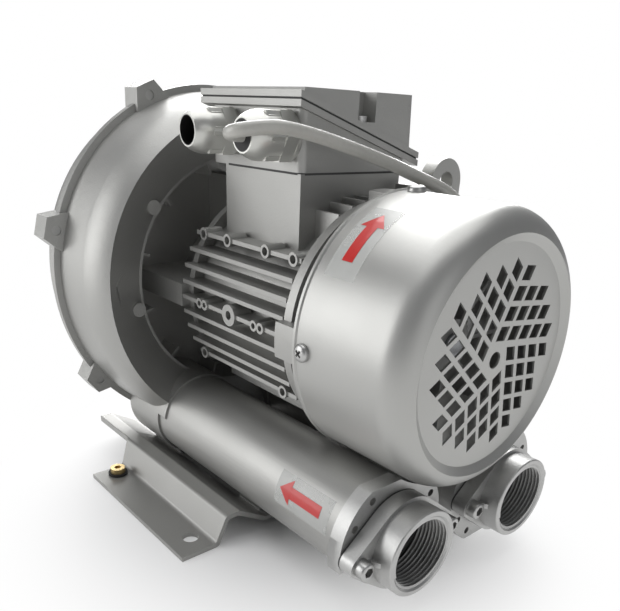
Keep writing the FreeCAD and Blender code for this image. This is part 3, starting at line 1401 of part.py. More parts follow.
def silencer(name, side):
    """One silencer: tube with foot pad, foam lining, end plate, gasket and port flange."""
    tube = rod(f"{name}_tube_outer", "{tube_radius}", "{tube_length}", TUBE_BACK, side, TUBE_Z)
    station = f"{JOINT} + {{foot_pad_station}}"
    foot = block(f"{name}_tube_pad", ("{foot_pad_length}", "{foot_pad_width}",
                                      "{foot_pad_height}"),
                 (f"{station} - {{foot_pad_length}} / 2", f"{side} - {{foot_pad_width}} / 2",
                  "{foot_bed_height}"))
    hollow = rod(f"{name}_tube_hollow", "{tube_radius} - {tube_wall}", "{tube_length} + 2",
                 f"{TUBE_BACK} - 1", side, TUBE_Z)
    tap = rod(f"{name}_tube_tap", "{foot_screw_radius} + {seat_clearance}",
              "{foot_screw_reach} + 0.3", station, side, "{foot_bed_height} - 0.1", axis="z")
    casing = rod(f"{name}_tube_relief", "{casing_radius} + 2 * {piece_gap}",
                 "{socket_front} - {tube_start} + 1", f"{TUBE_BACK} - 1", "0", AXIS)
    shell = fuse(f"{name}_tube_solid", [tube, foot])
    node(cut(f"{name}_silencer", shell, [hollow, tap, casing]), f"{name}_silencer")

    node(ring(f"{name}_foam_ring", "{tube_radius} - {tube_wall} - {foam_gap}",
              "{tube_radius} - {tube_wall} - {foam_thickness}",
              "{tube_length} - 2 * {foam_inset}", f"{TUBE_BACK} + {{foam_inset}}", side, TUBE_Z),
         f"{name}_foam_lining")

    # End plate, a disc with flats above and below and a spigot in the tube
    disc = rod(f"{name}_plate_disc", "{plate_radius}", "{plate_thickness}", TUBE_FRONT, side, TUBE_Z)
    slab = block(f"{name}_plate_slab",
                 ("{plate_thickness} + 2", "2 * {plate_radius} + 2", "2 * {plate_half_height}"),
                 (f"{TUBE_FRONT} - 1", f"{side} - {{plate_radius}} - 1",
                  f"{TUBE_Z} - {{plate_half_height}}"))
    trimmed = doc.addObject("Part::MultiCommon", f"{name}_plate_trimmed")
    trimmed.Shapes = [disc, slab]
    spigot = rod(f"{name}_plate_spigot", "{tube_radius} - {tube_wall} - {seat_clearance}",
                 "{plate_spigot} + 1", f"{TUBE_FRONT} - {{plate_spigot}}", side, TUBE_Z)
    tools = [rod(f"{name}_plate_bore", "{plate_bore}", "{plate_thickness} + {plate_spigot} + 2",
                 f"{TUBE_FRONT} - {{plate_spigot}} - 1", side, TUBE_Z)]
    for n, angle in enumerate((0, 180)):
        tools.append(rod(f"{name}_plate_tap_{n}", "{flange_screw_radius} + {seat_clearance}",
                         "{flange_screw_reach} + 1", f"{PLATE_FRONT} - {{flange_screw_reach}}",
                         f"{side} + {{plate_hole_circle}} * cos({angle} deg)", TUBE_Z))
    # Spare holes, but none where the plate is scalloped to clear the cowl
    skipped = 57 if name == "near" else 123
    for angle in (28, 57, 123, 152, 208, 237, 303, 332):
        if angle != skipped:
            tools.append(rod(f"{name}_plate_hole_{angle}", "{plate_hole_radius}",
                             "{plate_thickness} + 2", f"{TUBE_FRONT} - 1",
                             f"{side} + {{plate_hole_circle}} * cos({angle} deg)",
                             f"{TUBE_Z} + {{plate_hole_circle}} * sin({angle} deg)"))
    tools.append(rod(f"{name}_plate_scallop", "{cowl_radius} + {plate_scallop_gap}",
                     "{plate_thickness} + 2", f"{TUBE_FRONT} - 1", "0", AXIS))
    node(cut(f"{name}_end_plate", fuse(f"{name}_plate_solid", [trimmed, spigot]), tools),
         f"{name}_end_plate")

    flange_outline(name, side, "gasket", PLATE_FRONT, "{gasket_sheet}")
    flange = flange_outline(name, side, "flange", FLANGE_BACK, "{flange_thickness}")
    port_flange(name, side, flange)


def flange_outline(name, side, kind, start, length):
    """Plate of the flange's shape: a round middle with a screw ear on each side."""
    body = new_body(f"{name}_{kind}_plate")
    place(body, "0", side, TUBE_Z)
    reach, ear, mid = "{flange_lug_circle}", "{flange_lug_radius}", "{flange_radius}"
    # The straight sides touch the ears' circles and the middle circle
    lean = f"asin(({mid} - {ear}) / {reach})"
    corner = (f"{mid} * sin({lean})", f"{mid} * cos({lean})")
    end = (f"{reach} + {ear} * sin({lean})", f"{ear} * cos({lean})")
    sketch = outline(new_sketch(body, f"{name}_{kind}_outline", "YZ_Plane", start), [
        (f"-({corner[0]})", f"-({corner[1]})"),
        (corner[0], f"-({corner[1]})", mid, -1),
        (end[0], f"-({end[1]})"),
        (f"{reach} + {ear}", "0", ear, -1),
        (end[0], end[1], ear, -1),
        (corner[0], corner[1]),
        (f"-({corner[0]})", corner[1], mid, -1),
        (f"-({end[0]})", end[1]),
        (f"-({reach} + {ear})", "0", ear, -1),
        (f"-({end[0]})", f"-({end[1]})", ear, -1),
    ])
    pad(body, sketch, length)
    if kind == "gasket":
        hole = circles(new_sketch(body, f"{name}_gasket_hole", "YZ_Plane", start), [("0", "0")],
                       "{port_bore} + 0.6")
        pocket(body, hole)
        screws = circles(new_sketch(body, f"{name}_gasket_screws", "YZ_Plane", start),
                         [(reach, "0"), (f"-{reach}", "0")], "{flange_screw_radius} + 0.2")
        pocket(body, screws)
        node(body, f"{name}_port_gasket")
    return body


def port_flange(name, side, body):
    """Threaded collar and gussets on the flange plate."""
    face = f"({FLANGE_BACK} + {{flange_thickness}})"
    collar = circles(new_sketch(body, f"{name}_collar", "YZ_Plane", face), [("0", "0")],
                     "{collar_radius}")
    pad(body, collar, "{collar_length}")
    for n, turn in enumerate((-1, 1)):
        web = outline(new_sketch(body, f"{name}_gusset_{n}", "XY_Plane"), [
            (f"{face} - 1", f"{turn} * ({{collar_radius}} - 1)"),
            (f"{face} - 1", f"{turn} * ({{flange_radius}} + 0.6)"),
            (face, f"{turn} * ({{flange_radius}} + 0.6)"),
            (f"{face} + {{collar_length}} * 0.55", f"{turn} * ({{collar_radius}} - 0.5)"),
            (f"{face} + {{collar_length}} * 0.55", f"{turn} * ({{collar_radius}} - 1)"),
        ])
        pad(body, web, "{gusset_thickness}", middle=True)
    bore = circles(new_sketch(body, f"{name}_bore", "YZ_Plane", f"{face} + {{collar_length}}"),
                   [("0", "0")], "{port_bore}")
    pocket(body, bore)
    holes = circles(new_sketch(body, f"{name}_flange_screws", "YZ_Plane", face),
                    [("{flange_lug_circle}", "0"), ("-{flange_lug_circle}", "0")],
                    "{flange_screw_radius} + 0.2")
    pocket(body, holes)
    rim = value(f"{face} + {{collar_length}}")
    rim_face = f"{face} + {{collar_length}}"
    lead_in = outline(new_sketch(body, f"{name}_lead_in", "XY_Plane"), [
        (f"{rim_face} - {{port_chamfer}}", "{port_bore}"),
        (f"{rim_face} - {{port_chamfer}}", "{port_bore} - 1"),
        (f"{rim_face} + 1", "{port_bore} - 1"),
        (f"{rim_face} + 1", "{port_bore} + {port_chamfer} + 1"),
    ])
    turned(body, lead_in, groove=True)
    fillet(body, lambda e: abs(e.BoundBox.XMin - rim) < 1e-3 and abs(e.BoundBox.XMax - rim) < 1e-3
           and e.Curve.Radius > value("{collar_radius}") - 0.1, "0.8")
    node(body, f"{name}_port_flange")


def flange_screws():
    screws = []
    face = f"({FLANGE_BACK} + {{flange_thickness}})"
    for name, side in SIDES.items():
        for n, turn in enumerate((-1, 1)):
            y = f"{side} + {turn} * {{flange_lug_circle}}"
            reach = "({flange_thickness} + {gasket_sheet} + {flange_screw_reach} - 0.5)"
            shank = rod(f"{name}_flange_shank_{n}", "{flange_screw_radius}", reach,
                        f"{face} - {reach}", y, TUBE_Z)
            head = rod(f"{name}_flange_head_{n}", "{flange_screw_head}",
                       "{flange_screw_head_height}", face, y, TUBE_Z)
            screws.append(fuse(f"{name}_flange_screw_{n}", [shank, head]))
    return node(group("flange_screws", screws), "flange_screws")


# Foot plate

FOOT_BACK = "({joint_x} + {foot_start})"
FOOT_HOLES_X = [f"{JOINT} + {{foot_hole_centre}} + {turn} * {{foot_hole_spacing}} / 2"
                for turn in (-1, 1)]
FOOT_HOLES_Y = ["-{foot_hole_span} / 2", "{foot_hole_span} / 2"]


def foot_plate():
    """Bent sheet: flat flanges, a raised fold on each side, and a low bed between."""
    body = new_body("foot_plate")
    t = "{foot_sheet}"
    right = [
        ("{foot_bed_half_width}", "{foot_bed_height}"),
        ("{foot_crest_inner}", "{foot_crest_height}"),
        ("{foot_crest_outer}", "{foot_crest_height}"),
        ("{foot_flange_inner}", t),
        ("{foot_half_width}", t),
        ("{foot_half_width}", "0"),
        (f"{{foot_flange_inner}} - {t} * 0.72", "0"),
        (f"{{foot_crest_outer}} - {t} * 0.55", f"{{foot_crest_height}} - {t}"),
        (f"{{foot_crest_inner}} + {t} * 0.3", f"{{foot_crest_height}} - {t}"),
        (f"{{foot_bed_half_width}} + {t} * 0.3", f"{{foot_bed_height}} - {t}"),
    ]
    left = [(f"-({u})", v) for u, v in right]
    sheet_outline = [*right, *reversed(left)]
    length = "{foot_length} + {foot_start} + {foot_tail}"
    profile = outline(new_sketch(body, "foot_section", "YZ_Plane",
                                 f"{JOINT} - {{foot_tail}}"), sheet_outline)
    pad(body, profile, length)
    outermost = value("{foot_half_width}") - 1
    fillet(body, lambda e: abs(e.tangentAt(e.FirstParameter).x) > 0.9
           and abs(e.CenterOfMass.y) < outermost, "{foot_bend}")
    # The flanges are shorter than the bed, and a notch clears the lowest lug
    for name, turn in (("near", -1), ("far", 1)):
        trim = outline(new_sketch(body, f"foot_trim_{name}", "XY_Plane"), [
            (f"{JOINT} - {{foot_tail}} - 1", f"{turn} * ({{foot_crest_outer}} - 1)"),
            (f"{FOOT_BACK} - 8", f"{turn} * ({{foot_crest_outer}} - 1)"),
            (FOOT_BACK, f"{turn} * ({{foot_flange_inner}} + 3)"),
            (FOOT_BACK, f"{turn} * ({{foot_half_width}} + 1)"),
            (f"{JOINT} - {{foot_tail}} - 1", f"{turn} * ({{foot_half_width}} + 1)"),
        ])
        pocket(body, trim)
    notch = outline(new_sketch(body, "foot_notch", "XY_Plane"),
                    box_points(f"{JOINT} - {{foot_tail}} - 1", "-{foot_notch_half_width}",
                               f"{JOINT} - {{foot_tail}} + {{foot_notch_length}}",
                               "{foot_notch_half_width}"))
    pocket(body, notch)
    holes = circles(new_sketch(body, "foot_holes", "XY_Plane"),
                    [(x, y) for x in FOOT_HOLES_X for y in FOOT_HOLES_Y], "{foot_hole_radius}")
    pocket(body, holes)
    screws = circles(new_sketch(body, "foot_screw_holes", "XY_Plane"),
                     [(x, y) for x in foot_screw_stations() for y in SIDES.values()],
                     "{foot_screw_radius} + 0.3")
    pocket(body, screws)

    return node(body, "foot_plate")


def foot_screw_stations():
    return (f"{JOINT} + {{housing_screw_station}}", f"{JOINT} + {{foot_pad_station}}")


def foot_screws():
    screws = []
    bed_under = "({foot_bed_height} - {foot_sheet})"
    for i, x in enumerate(foot_screw_stations()):
        for j, y in enumerate(SIDES.values()):
            shank = rod(f"foot_shank_{i}{j}", "{foot_screw_radius}",
                        "{foot_sheet} + {foot_screw_reach}", x, y, bed_under, axis="z")
            head = rod(f"foot_head_{i}{j}", "{foot_screw_head}", "{foot_screw_head_height}",
                       x, y, f"{bed_under} - {{foot_screw_head_height}}", axis="z")
            screws.append(fuse(f"foot_screw_{i}{j}", [shank, head]))
    return node(group("foot_screws", screws), "foot_screws")


def foot_grommets():
    """Rubber grommet and bolt in each rear hole of the foot plate."""
    rubbers, bolts = [], []
    x = FOOT_HOLES_X[0]
    for n, y in enumerate(FOOT_HOLES_Y):
        top = rod(f"grommet_flange_{n}", "{grommet_radius}", "{grommet_height}", x, y,
                  "{foot_sheet}", axis="z")
        neck = rod(f"grommet_neck_{n}", "{foot_hole_radius} - {seat_clearance}",
                   "{foot_sheet}", x, y, "0.2", axis="z")
        hole = rod(f"grommet_hole_{n}", "{grommet_bore}", "20", x, y, "-5", axis="z")
        rubbers.append(cut(f"grommet_{n}", fuse(f"grommet_solid_{n}", [top, neck]), [hole]))
        shank = rod(f"grommet_bolt_shank_{n}", "{grommet_bolt_radius}",
                    "{foot_sheet} + {grommet_height} - 0.3", x, y, "0.3", axis="z")
        head = rod(f"grommet_bolt_head_{n}", "{grommet_bolt_head}",
                   "{grommet_bolt_head_height}", x, y, "{foot_sheet} + {grommet_height}", axis="z")
        socket = hex_rod(f"grommet_bolt_socket_{n}", "{grommet_bolt_flats}",
                         "{grommet_bolt_head_height}", x, y,
                         "{foot_sheet} + {grommet_height} + {grommet_bolt_floor}", axis="z")
        bolts.append(cut(f"grommet_bolt_{n}", fuse(f"grommet_bolt_solid_{n}", [shank, head]),
                         [socket]))
    node(group("foot_grommets", rubbers), "foot_grommets")
    node(group("foot_bolts", bolts), "foot_bolts")


# Cord

def rounded_tube(label, points, diameter):
    """Tube along straight runs joined by tangent arcs, as large as the runs allow."""
    corners = [V(*p) for p in points]
    edges, start, length = [], corners[0], 0.0
    for n in range(1, len(corners) - 1):
        before, here, after = corners[n - 1], corners[n], corners[n + 1]
        back, ahead = (before - here).normalize(), (after - here).normalize()
        half_turn = (math.pi - back.getAngle(ahead)) / 2
        trim = 0.45 * min((before - here).Length, (after - here).Length)
        radius = trim / math.tan(half_turn)
        first, last = here + back * trim, here + ahead * trim
        middle = here + (back + ahead).normalize() * (radius / math.cos(half_turn) - radius)
        edges.append(Part.LineSegment(start, first).toShape())
        edges.append(Part.Arc(first, middle, last).toShape())
        length += (first - start).Length + 2 * half_turn * radius
        start = last
        print(f"{label} point {n}: turn {math.degrees(2 * half_turn):.0f} deg, radius {radius:.1f}")
    edges.append(Part.LineSegment(start, corners[-1]).toShape())
    length += (corners[-1] - start).Length
    path = Part.Wire(edges)
    along = (corners[1] - corners[0]).normalize()
    section = Part.Wire([Part.Circle(corners[0], along, diameter / 2).toShape()])
    tube = path.makePipeShell([section], True, True)
    expected = math.pi * diameter ** 2 / 4 * length
    print(f"{label}: length {length:.0f}, volume {tube.Volume:.0f}, expected {expected:.0f}")
    item = doc.addObject("Part::Feature", label)
    item.Shape = tube
    item.Placement = FreeCAD.Placement()
    return node(item, label)


def cord_and_plug():
    """Mains cord from the second gland, over the cowl and down to a neat coil."""
    d = value("{cord_diameter}")
    exit_x = value(f"{FRAME_BACK} + {{gland_two_station}}")
    exit_y = value("-{box_near} - {gland_body_width} - {gland_cap_length}")
    exit_z = value(f"{AXIS} + {{gland_height}}")
    coil_x, coil_y = value("{coil_x}"), value("{coil_y}")
    mean = value("{coil_mean_radius}")
    lie = d / 2 + 0.3
    rounded_tube("cord_run", [
        (exit_x, exit_y, exit_z),
        (exit_x, exit_y - 3.4, exit_z),
        (exit_x + 3.9, exit_y - 11.4, exit_z + 0.8),
        (exit_x + 13.1, exit_y - 11.4, exit_z + 2.7),
        (exit_x + 18.0, exit_y - 2.6, exit_z + 4.1),
        (46.0, -61.5, 234.4),
        (50.0, -43.0, 231.0),
        (56.0, -22.0, 225.1),
        (61.0, -2.0, 219.1),
        (64.5, 15.0, 213.0),
        (66.5, 28.0, 208.7),
        (67.5, 39.0, 205.0),
        (68.5, 49.0, 199.5),
        (70.0, 58.0, 191.5),
        (72.0, 66.0, 181.0),
        (73.5, 75.0, 165.0),
        (72.0, 84.0, 142.0),
        (69.0, 91.5, 112.0),
        (64.0, 98.0, 78.0),
        (57.0, 106.0, 40.0),
        (42.0, 124.0, 9.5),
        (16.0, 138.0, lie),
        (-14.0, 142.5, lie),
        (-44.0, coil_y - mean - 1.5, lie),
        (coil_x, coil_y - mean, lie),
    ], d)
    # Three layers of two turns each
    outer = ring_upright("coil", mean + d + 0.2, mean - d - 0.2, 3 * d + 0.6, coil_x, coil_y)
    node(outer, "cord_coil")
    tail_y = coil_y + mean + d / 2
    rounded_tube("cord_tail", [
        (coil_x, tail_y, lie),
        (coil_x - 26.0, tail_y - 3.0, lie),
        (coil_x - 50.0, tail_y - 14.0, lie + 2.5),
        (coil_x - 66.0, tail_y - 30.0, 9.3),
    ], d)
    plug(coil_x - 66.0, tail_y - 30.0, 9.3)


def ring_upright(name, outer, inner, height, x, y):
    body = rod(name + "_outer", str(outer), str(height), str(x), str(y), "0", axis="z")
    hole = rod(name + "_hole", str(inner), str(height + 2), str(x), str(y), "-1", axis="z")
    return cut(name, body, [hole])


def plug(x, y, z):
    """Moulded mains plug with two round pins, lying on the floor beside the coil."""
    body = doc.addObject("PartDesign::Body", "plug_body")
    profile = outline(new_sketch(body, "plug_outline", "XY_Plane"), [
        ("0", "0"),
        ("0", "{plug_nose_radius}"),
        ("{plug_sleeve_length}", "{plug_sleeve_radius}"),
        ("{plug_shoulder_length}", "{plug_shoulder_radius}"),
        ("{plug_grip_length}", "{plug_grip_radius}"),
        ("{plug_length}", "{plug_face_radius}"),
        ("{plug_length}", "0"),
    ])
    turned(body, profile)
    pins = [rod(f"plug_pin_{n}", "{plug_pin_radius}", "{plug_pin_length} + 1",
                "{plug_length} - 1", y, "0")
            for n, y in enumerate(("-{plug_pin_spacing} / 2", "{plug_pin_spacing} / 2"))]
    whole = fuse("mains_plug", [body] + pins)
    heading = FreeCAD.Rotation(V(0, 0, 1), value("{plug_heading}"))
    whole.Placement = FreeCAD.Placement(V(x, y, z), heading)
    return node(whole, "mains_plug")


ring_housing()
motor_bracket()
ring_cover()
cover_screws()
impeller()
motor_shaft()
impeller_fasteners()
seal_and_bearings()
rotor_and_stator()
finned_frame()
fan_end_shield()
cooling_fan()
fan_cowl()
cowl_screws()
terminal_box()
lid_gasket()
terminal_lid()
lid_screws()
box_contents()
gland("one", 1, "{gland_mouth_radius} - 1.6")
gland("two", 2, "{cord_diameter} / 2")
for tube_name, tube_side in SIDES.items():
    silencer(tube_name, tube_side)
flange_screws()
foot_plate()
foot_screws()
foot_grommets()
cord_and_plug()
doc.recompute()

failed = [item.Name for item in doc.Objects if {"Invalid", "Error"} & set(item.State)]
for item in NODES:
    shape = item.Shape
    if shape.isNull() or not shape.isValid() or not shape.Solids:
        failed.append(item.Label)
if failed:
    raise RuntimeError(f"these objects failed: {sorted(set(failed))}")

os.makedirs("parts", exist_ok=True)
for item in NODES:
    item.Shape.exportStep(f"parts/{item.Label}.step")
    print(f"{item.Label}: {len(item.Shape.Solids)} solids, {item.Shape.Volume:.0f} mm3")
print(f"{len(NODES)} nodes")
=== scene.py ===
"""Looks of the side channel air blower: finishes, small details, cord, stage and camera."""

import logging
import math
from dataclasses import dataclass, field
from enum import Enum
from typing import Dict, List, Optional, Sequence, Tuple, Union

import bmesh
import bpy
from mathutils import Matrix, Vector

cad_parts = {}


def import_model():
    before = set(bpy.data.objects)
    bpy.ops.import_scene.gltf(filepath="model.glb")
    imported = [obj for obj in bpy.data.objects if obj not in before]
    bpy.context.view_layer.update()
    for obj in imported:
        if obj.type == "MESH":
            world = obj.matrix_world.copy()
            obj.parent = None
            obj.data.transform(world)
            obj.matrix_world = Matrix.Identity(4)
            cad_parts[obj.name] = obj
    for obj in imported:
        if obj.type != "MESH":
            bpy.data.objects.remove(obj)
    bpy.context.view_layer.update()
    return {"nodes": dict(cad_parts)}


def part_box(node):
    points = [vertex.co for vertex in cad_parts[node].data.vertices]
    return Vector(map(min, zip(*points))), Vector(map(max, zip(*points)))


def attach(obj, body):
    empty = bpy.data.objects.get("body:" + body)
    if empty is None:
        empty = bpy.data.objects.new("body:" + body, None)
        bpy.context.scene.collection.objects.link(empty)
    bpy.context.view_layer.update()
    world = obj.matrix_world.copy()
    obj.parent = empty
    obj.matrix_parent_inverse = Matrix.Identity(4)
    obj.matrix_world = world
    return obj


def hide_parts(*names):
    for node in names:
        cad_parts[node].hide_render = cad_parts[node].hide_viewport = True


Pair = Tuple[float, float]
Point = Tuple[float, float, float]
Colour = Tuple[float, float, float]
MM = 0.001
SMOOTH_BELOW = math.radians(38)
LOG = logging.getLogger("blower")


class Side(Enum):
    """The two silencers, by the sign of their Y."""

    NEAR = -1
    FAR = 1


class Surface(Enum):
    """How the surface under a coat of paint was made."""

    SAND_CAST = "sand_cast"
    PRESSED = "pressed"
    EXTRUDED = "extruded"


def place_in(node: str, part: float = 0.5) -> Point:
    """Find a place in the box of one of the part's nodes.

    Args:
        node: The node's name.
        part: 0 for the box's low corner, 0.5 for its middle and 1 for its high corner.

    Returns:
        The place in millimetres.
    """
    return tuple(round((low + (high - low) * part) / MM, 3) for low, high in zip(*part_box(node)))


def gland_axes() -> List[Pair]:
    """X and Z of both cable glands in millimetres."""
    return [(cap[0], cap[2]) for cap in (place_in("gland_1_cap"), place_in("gland_2_cap"))]


@dataclass(frozen=True)
class Stations:
    """Places on the part in millimetres, worked out from the frame."""

    motor_axis: Pair
    tube_axes: Dict[Side, Pair]
    port_mouth: float
    gland_mouth: float
    grip_end: float
    joint: float
    box_floor: float

    @classmethod
    def read(cls) -> "Stations":
        """Read all places from the boxes of the part's nodes.

        Returns:
            The places.
        """
        return cls(motor_axis=place_in("motor_shaft")[1:],
                   tube_axes={side: place_in(f"{side.name.lower()}_port_flange")[1:]
                              for side in Side},
                   port_mouth=place_in("near_port_flange", 1)[0],
                   gland_mouth=place_in("gland_2_cap", 0)[1],
                   grip_end=place_in("gland_2_cap", 1)[1],
                   joint=place_in("ring_housing", 0)[0],
                   box_floor=place_in("terminal_box", 0)[2])


class Maths:
    """A shader value that builds Math nodes from ordinary arithmetic."""

    def __init__(self, graph: "Graph", socket: bpy.types.NodeSocket) -> None:
        """Wrap one output socket of a graph."""
        self.graph = graph
        self.socket = socket

    def _math(self, operation: str, *inputs: object) -> "Maths":
        """Add one Math node.

        Args:
            operation: Blender's name of the operation.
            inputs: The node's inputs in order, as numbers or wrapped values.

        Returns:
            The wrapped result.
        """
        item = self.graph.node("ShaderNodeMath", {"operation": operation}, dict(enumerate(inputs)))
        return Maths(self.graph, item.outputs[0])

    def __add__(self, other: object) -> "Maths":
        """Sum."""
        return self._math("ADD", self, other)

    def __radd__(self, other: object) -> "Maths":
        """Sum with a number in front."""
        return self._math("ADD", other, self)

    def __sub__(self, other: object) -> "Maths":
        """Difference."""
        return self._math("SUBTRACT", self, other)

    def __rsub__(self, other: object) -> "Maths":
        """Difference with a number in front."""
        return self._math("SUBTRACT", other, self)

    def __mul__(self, other: object) -> "Maths":
        """Product."""
        return self._math("MULTIPLY", self, other)

    def __rmul__(self, other: object) -> "Maths":
        """Product with a number in front."""
        return self._math("MULTIPLY", other, self)

    def __pow__(self, other: object) -> "Maths":
        """Power."""
        return self._math("POWER", self, other)

    def __rpow__(self, other: object) -> "Maths":
        """Power of a number in front."""
        return self._math("POWER", other, self)

    def sine(self) -> "Maths":
        """Sine of the value in radians."""
        return self._math("SINE", self)

    def least(self, other: "Maths") -> "Maths":
        """The smaller of two values."""
        return self._math("MINIMUM", self, other)

    def swing(self, amount: float) -> "Maths":
        """How far a value between 0 and 1 is from the middle, times an amount."""
        return (self - 0.5) * amount

    def ramp(self, start: float, end: float) -> "Maths":
        """Smooth rise from 0 to 1.

        Args:
            start: The value at which the rise begins.
            end: The value at which it ends.

        Returns:
            The wrapped result.
        """
        item = self.graph.node("ShaderNodeMapRange", {"interpolation_type": "SMOOTHSTEP"},
                               {"Value": self, "From Min": start, "From Max": end})
        return Maths(self.graph, item.outputs["Result"])


class Graph:
    """A node tree with one method that adds any node."""

    def __init__(self, tree: bpy.types.NodeTree) -> None:
        """Empty a tree and take it over."""
        self.tree = tree
        tree.nodes.clear()

    def feed(self, socket: bpy.types.NodeSocket, value: object) -> None:
        """Link or set one input.

        Args:
            socket: The input.
            value: A wrapped value, an output socket, a colour or any plain value.
        """
        if isinstance(value, Maths):
            value = value.socket
        if isinstance(value, bpy.types.NodeSocket):
            self.tree.links.new(value, socket)
        elif socket.type == "RGBA":
            socket.default_value = (*value, 1.0)
        else:
            socket.default_value = value

    def node(self, kind: str, settings: Optional[Dict[str, object]] = None,
             inputs: Optional[Dict[Union[str, int], object]] = None) -> bpy.types.Node:
        """Add one node.

        Args:
            kind: Blender's type name of the node.
            settings: Properties of the node itself, which are set first.
            inputs: What its inputs take, by name or number.

        Returns:
            The new node.
        """
        item = self.tree.nodes.new(kind)
        for name, value in (settings or {}).items():
            setattr(item, name, value)
        for key, value in (inputs or {}).items():
            self.feed(item.inputs[key], value)
        return item


class Recipe(Graph):
    """Builds one material around a Principled shader."""

    def __init__(self, name: str) -> None:
        """Start a material with its shader, its output and its object coordinates.

        Args:
            name: The material's name.
        """
        self.material = bpy.data.materials.new(name)
        self.material.use_nodes = True
        super().__init__(self.material.node_tree)
        self.shader = self.node("ShaderNodeBsdfPrincipled")
        self.output = self.node("ShaderNodeOutputMaterial",
                                inputs={"Surface": self.shader.outputs[0]})
        self.place = self.node("ShaderNodeTexCoord").outputs["Object"]

    def axes(self) -> List[Maths]:
        """X, Y and Z of the shaded point."""
        item = self.node("ShaderNodeSeparateXYZ", inputs={"Vector": self.place})
        return [Maths(self, part) for part in item.outputs]

    def noise(self, scale: float, detail: float = 3.0, roughness: float = 0.5,
              stretch: Optional[Point] = None) -> Maths:
        """Noise between 0 and 1.

        Args:
            scale: How fine it is, per metre.
            detail: How many finer layers it has.
            roughness: How strong those are.
            stretch: Scales of the three axes, where they differ.

        Returns:
            The wrapped value.
        """
        where = self.place
        if stretch:
            where = self.node("ShaderNodeMapping",
                              inputs={"Vector": where, "Scale": stretch}).outputs[0]
        item = self.node("ShaderNodeTexNoise", inputs={
            "Vector": where, "Scale": scale, "Detail": detail, "Roughness": roughness})
        return Maths(self, item.outputs[0])

    def mix(self, factor: Maths, first: Colour, second: Colour) -> bpy.types.NodeSocket:
        """Mix two colours.

        Args:
            factor: 0 gives the first, 1 the second; the node holds it between them.
            first: The first colour.
            second: The second colour.

        Returns:
            The colour socket.
        """
        return self.node("ShaderNodeMix", {"data_type": "RGBA"},
                         {0: factor, 6: first, 7: second}).outputs[2]

    def tint(self, factor: Maths, colour: Colour, dark: float, light: float = 1.0) -> None:
        """Vary the base colour between a darker and a lighter tone.

        Args:
            factor: 0 gives the darker tone, 1 the lighter one.
            colour: The colour that both tones come from.
            dark: Share of it in the darker tone.
            light: Share of it in the lighter tone.
        """
        tones = [tuple(min(1.0, part * share) for part in colour) for share in (dark, light)]
        self.shade(Base_Color=self.mix(factor, *tones))

    def shade(self, **inputs: object) -> None:
        """Link or set inputs of the shader, by name with _ for a space."""
        for name, value in inputs.items():
            self.feed(self.shader.inputs[name.replace("_", " ")], value)

    def bump(self, height: Maths, depth: float, strength: float) -> None:
        """Raise the surface by a height field, with a depth in metres."""
        item = self.node("ShaderNodeBump", inputs={
            "Height": height, "Distance": depth, "Strength": strength})
        self.shade(Normal=item.outputs[0])


@dataclass(frozen=True)
class Finish:
    """What all finishes share: a name and a main colour."""

    name: str
    colour: Colour

    def build(self) -> bpy.types.Material:
        """Make the material.

        Returns:
            The material.
        """
        recipe = Recipe(self.name)
        self.dress(recipe)
        return recipe.material

    def dress(self, recipe: Recipe) -> None:
        """Add the nodes of this finish to its material."""
        raise NotImplementedError


@dataclass(frozen=True)
class Paint(Finish):
    """Silver grey sprayed paint with fine metal flakes."""

    surface: Surface
    roughness: float
    metallic: float

    def dress(self, recipe: Recipe) -> None:
        """Add flakes, soft clouds and the grain of what lies under the paint.

        Args:
            recipe: The material.
        """
        flakes = recipe.noise(scale=2600.0, detail=2.0, roughness=0.6)
        cloud = recipe.noise(scale=24.0, detail=4.0, roughness=0.55)
        recipe.tint(flakes.swing(0.22) + cloud.swing(0.16) + 0.5, self.colour, 0.80, 1.16)
        recipe.shade(Metallic=self.metallic, Roughness=cloud.swing(0.18) + self.roughness)
        if self.surface is Surface.SAND_CAST:
            sand = recipe.noise(scale=900.0, detail=4.0, roughness=0.65)
            waves = recipe.noise(scale=160.0)
            recipe.bump(sand * 0.7 + waves * 0.6, depth=0.00022, strength=0.75)
        elif self.surface is Surface.EXTRUDED:
            lines = recipe.noise(scale=700.0, roughness=0.6, stretch=(0.05, 1.0, 1.0))
            grain = recipe.noise(scale=1100.0, detail=2.0)
            recipe.bump(lines + grain * 0.4, depth=0.0001, strength=0.5)
        else:
            recipe.bump(recipe.noise(scale=420.0), depth=0.00006, strength=0.5)


@dataclass(frozen=True)
class Metal(Finish):
    """Bare metal with fine machining or casting marks."""

    roughness: float
    grain: float
    depth: float = 0.00006
    stretch: Optional[Point] = None

    def dress(self, recipe: Recipe) -> None:
        """Add the marks and a faint stain.

        Args:
            recipe: The material.
        """
        marks = recipe.noise(scale=self.grain, roughness=0.6, stretch=self.stretch)
        stain = recipe.noise(scale=60.0, detail=4.0, roughness=0.6)
        recipe.tint(stain.swing(0.7) + marks * 0.5, self.colour, 0.78, 1.1)
        recipe.shade(Metallic=0.9, Roughness=marks.swing(0.22) + self.roughness)
        recipe.bump(marks, self.depth, strength=0.7)


@dataclass(frozen=True)
class Polymer(Finish):
    """Plastic, rubber, foam or card: no metal, a grain and a gloss."""

    roughness: float
    grain: float = 700.0
    depth: float = 0.00004
    coat: float = 0.0

    def dress(self, recipe: Recipe) -> None:
        """Add specks and faint wear.

        Args:
            recipe: The material.
        """
        speck = recipe.noise(scale=self.grain, roughness=0.6)
        wear = recipe.noise(scale=35.0, detail=4.0, roughness=0.55)
        recipe.tint(speck.swing(0.5) + wear, self.colour, 0.82, 1.12)
        recipe.shade(Roughness=wear.swing(0.16) + self.roughness, Coat_Weight=self.coat)
        recipe.bump(speck, self.depth, strength=0.6)


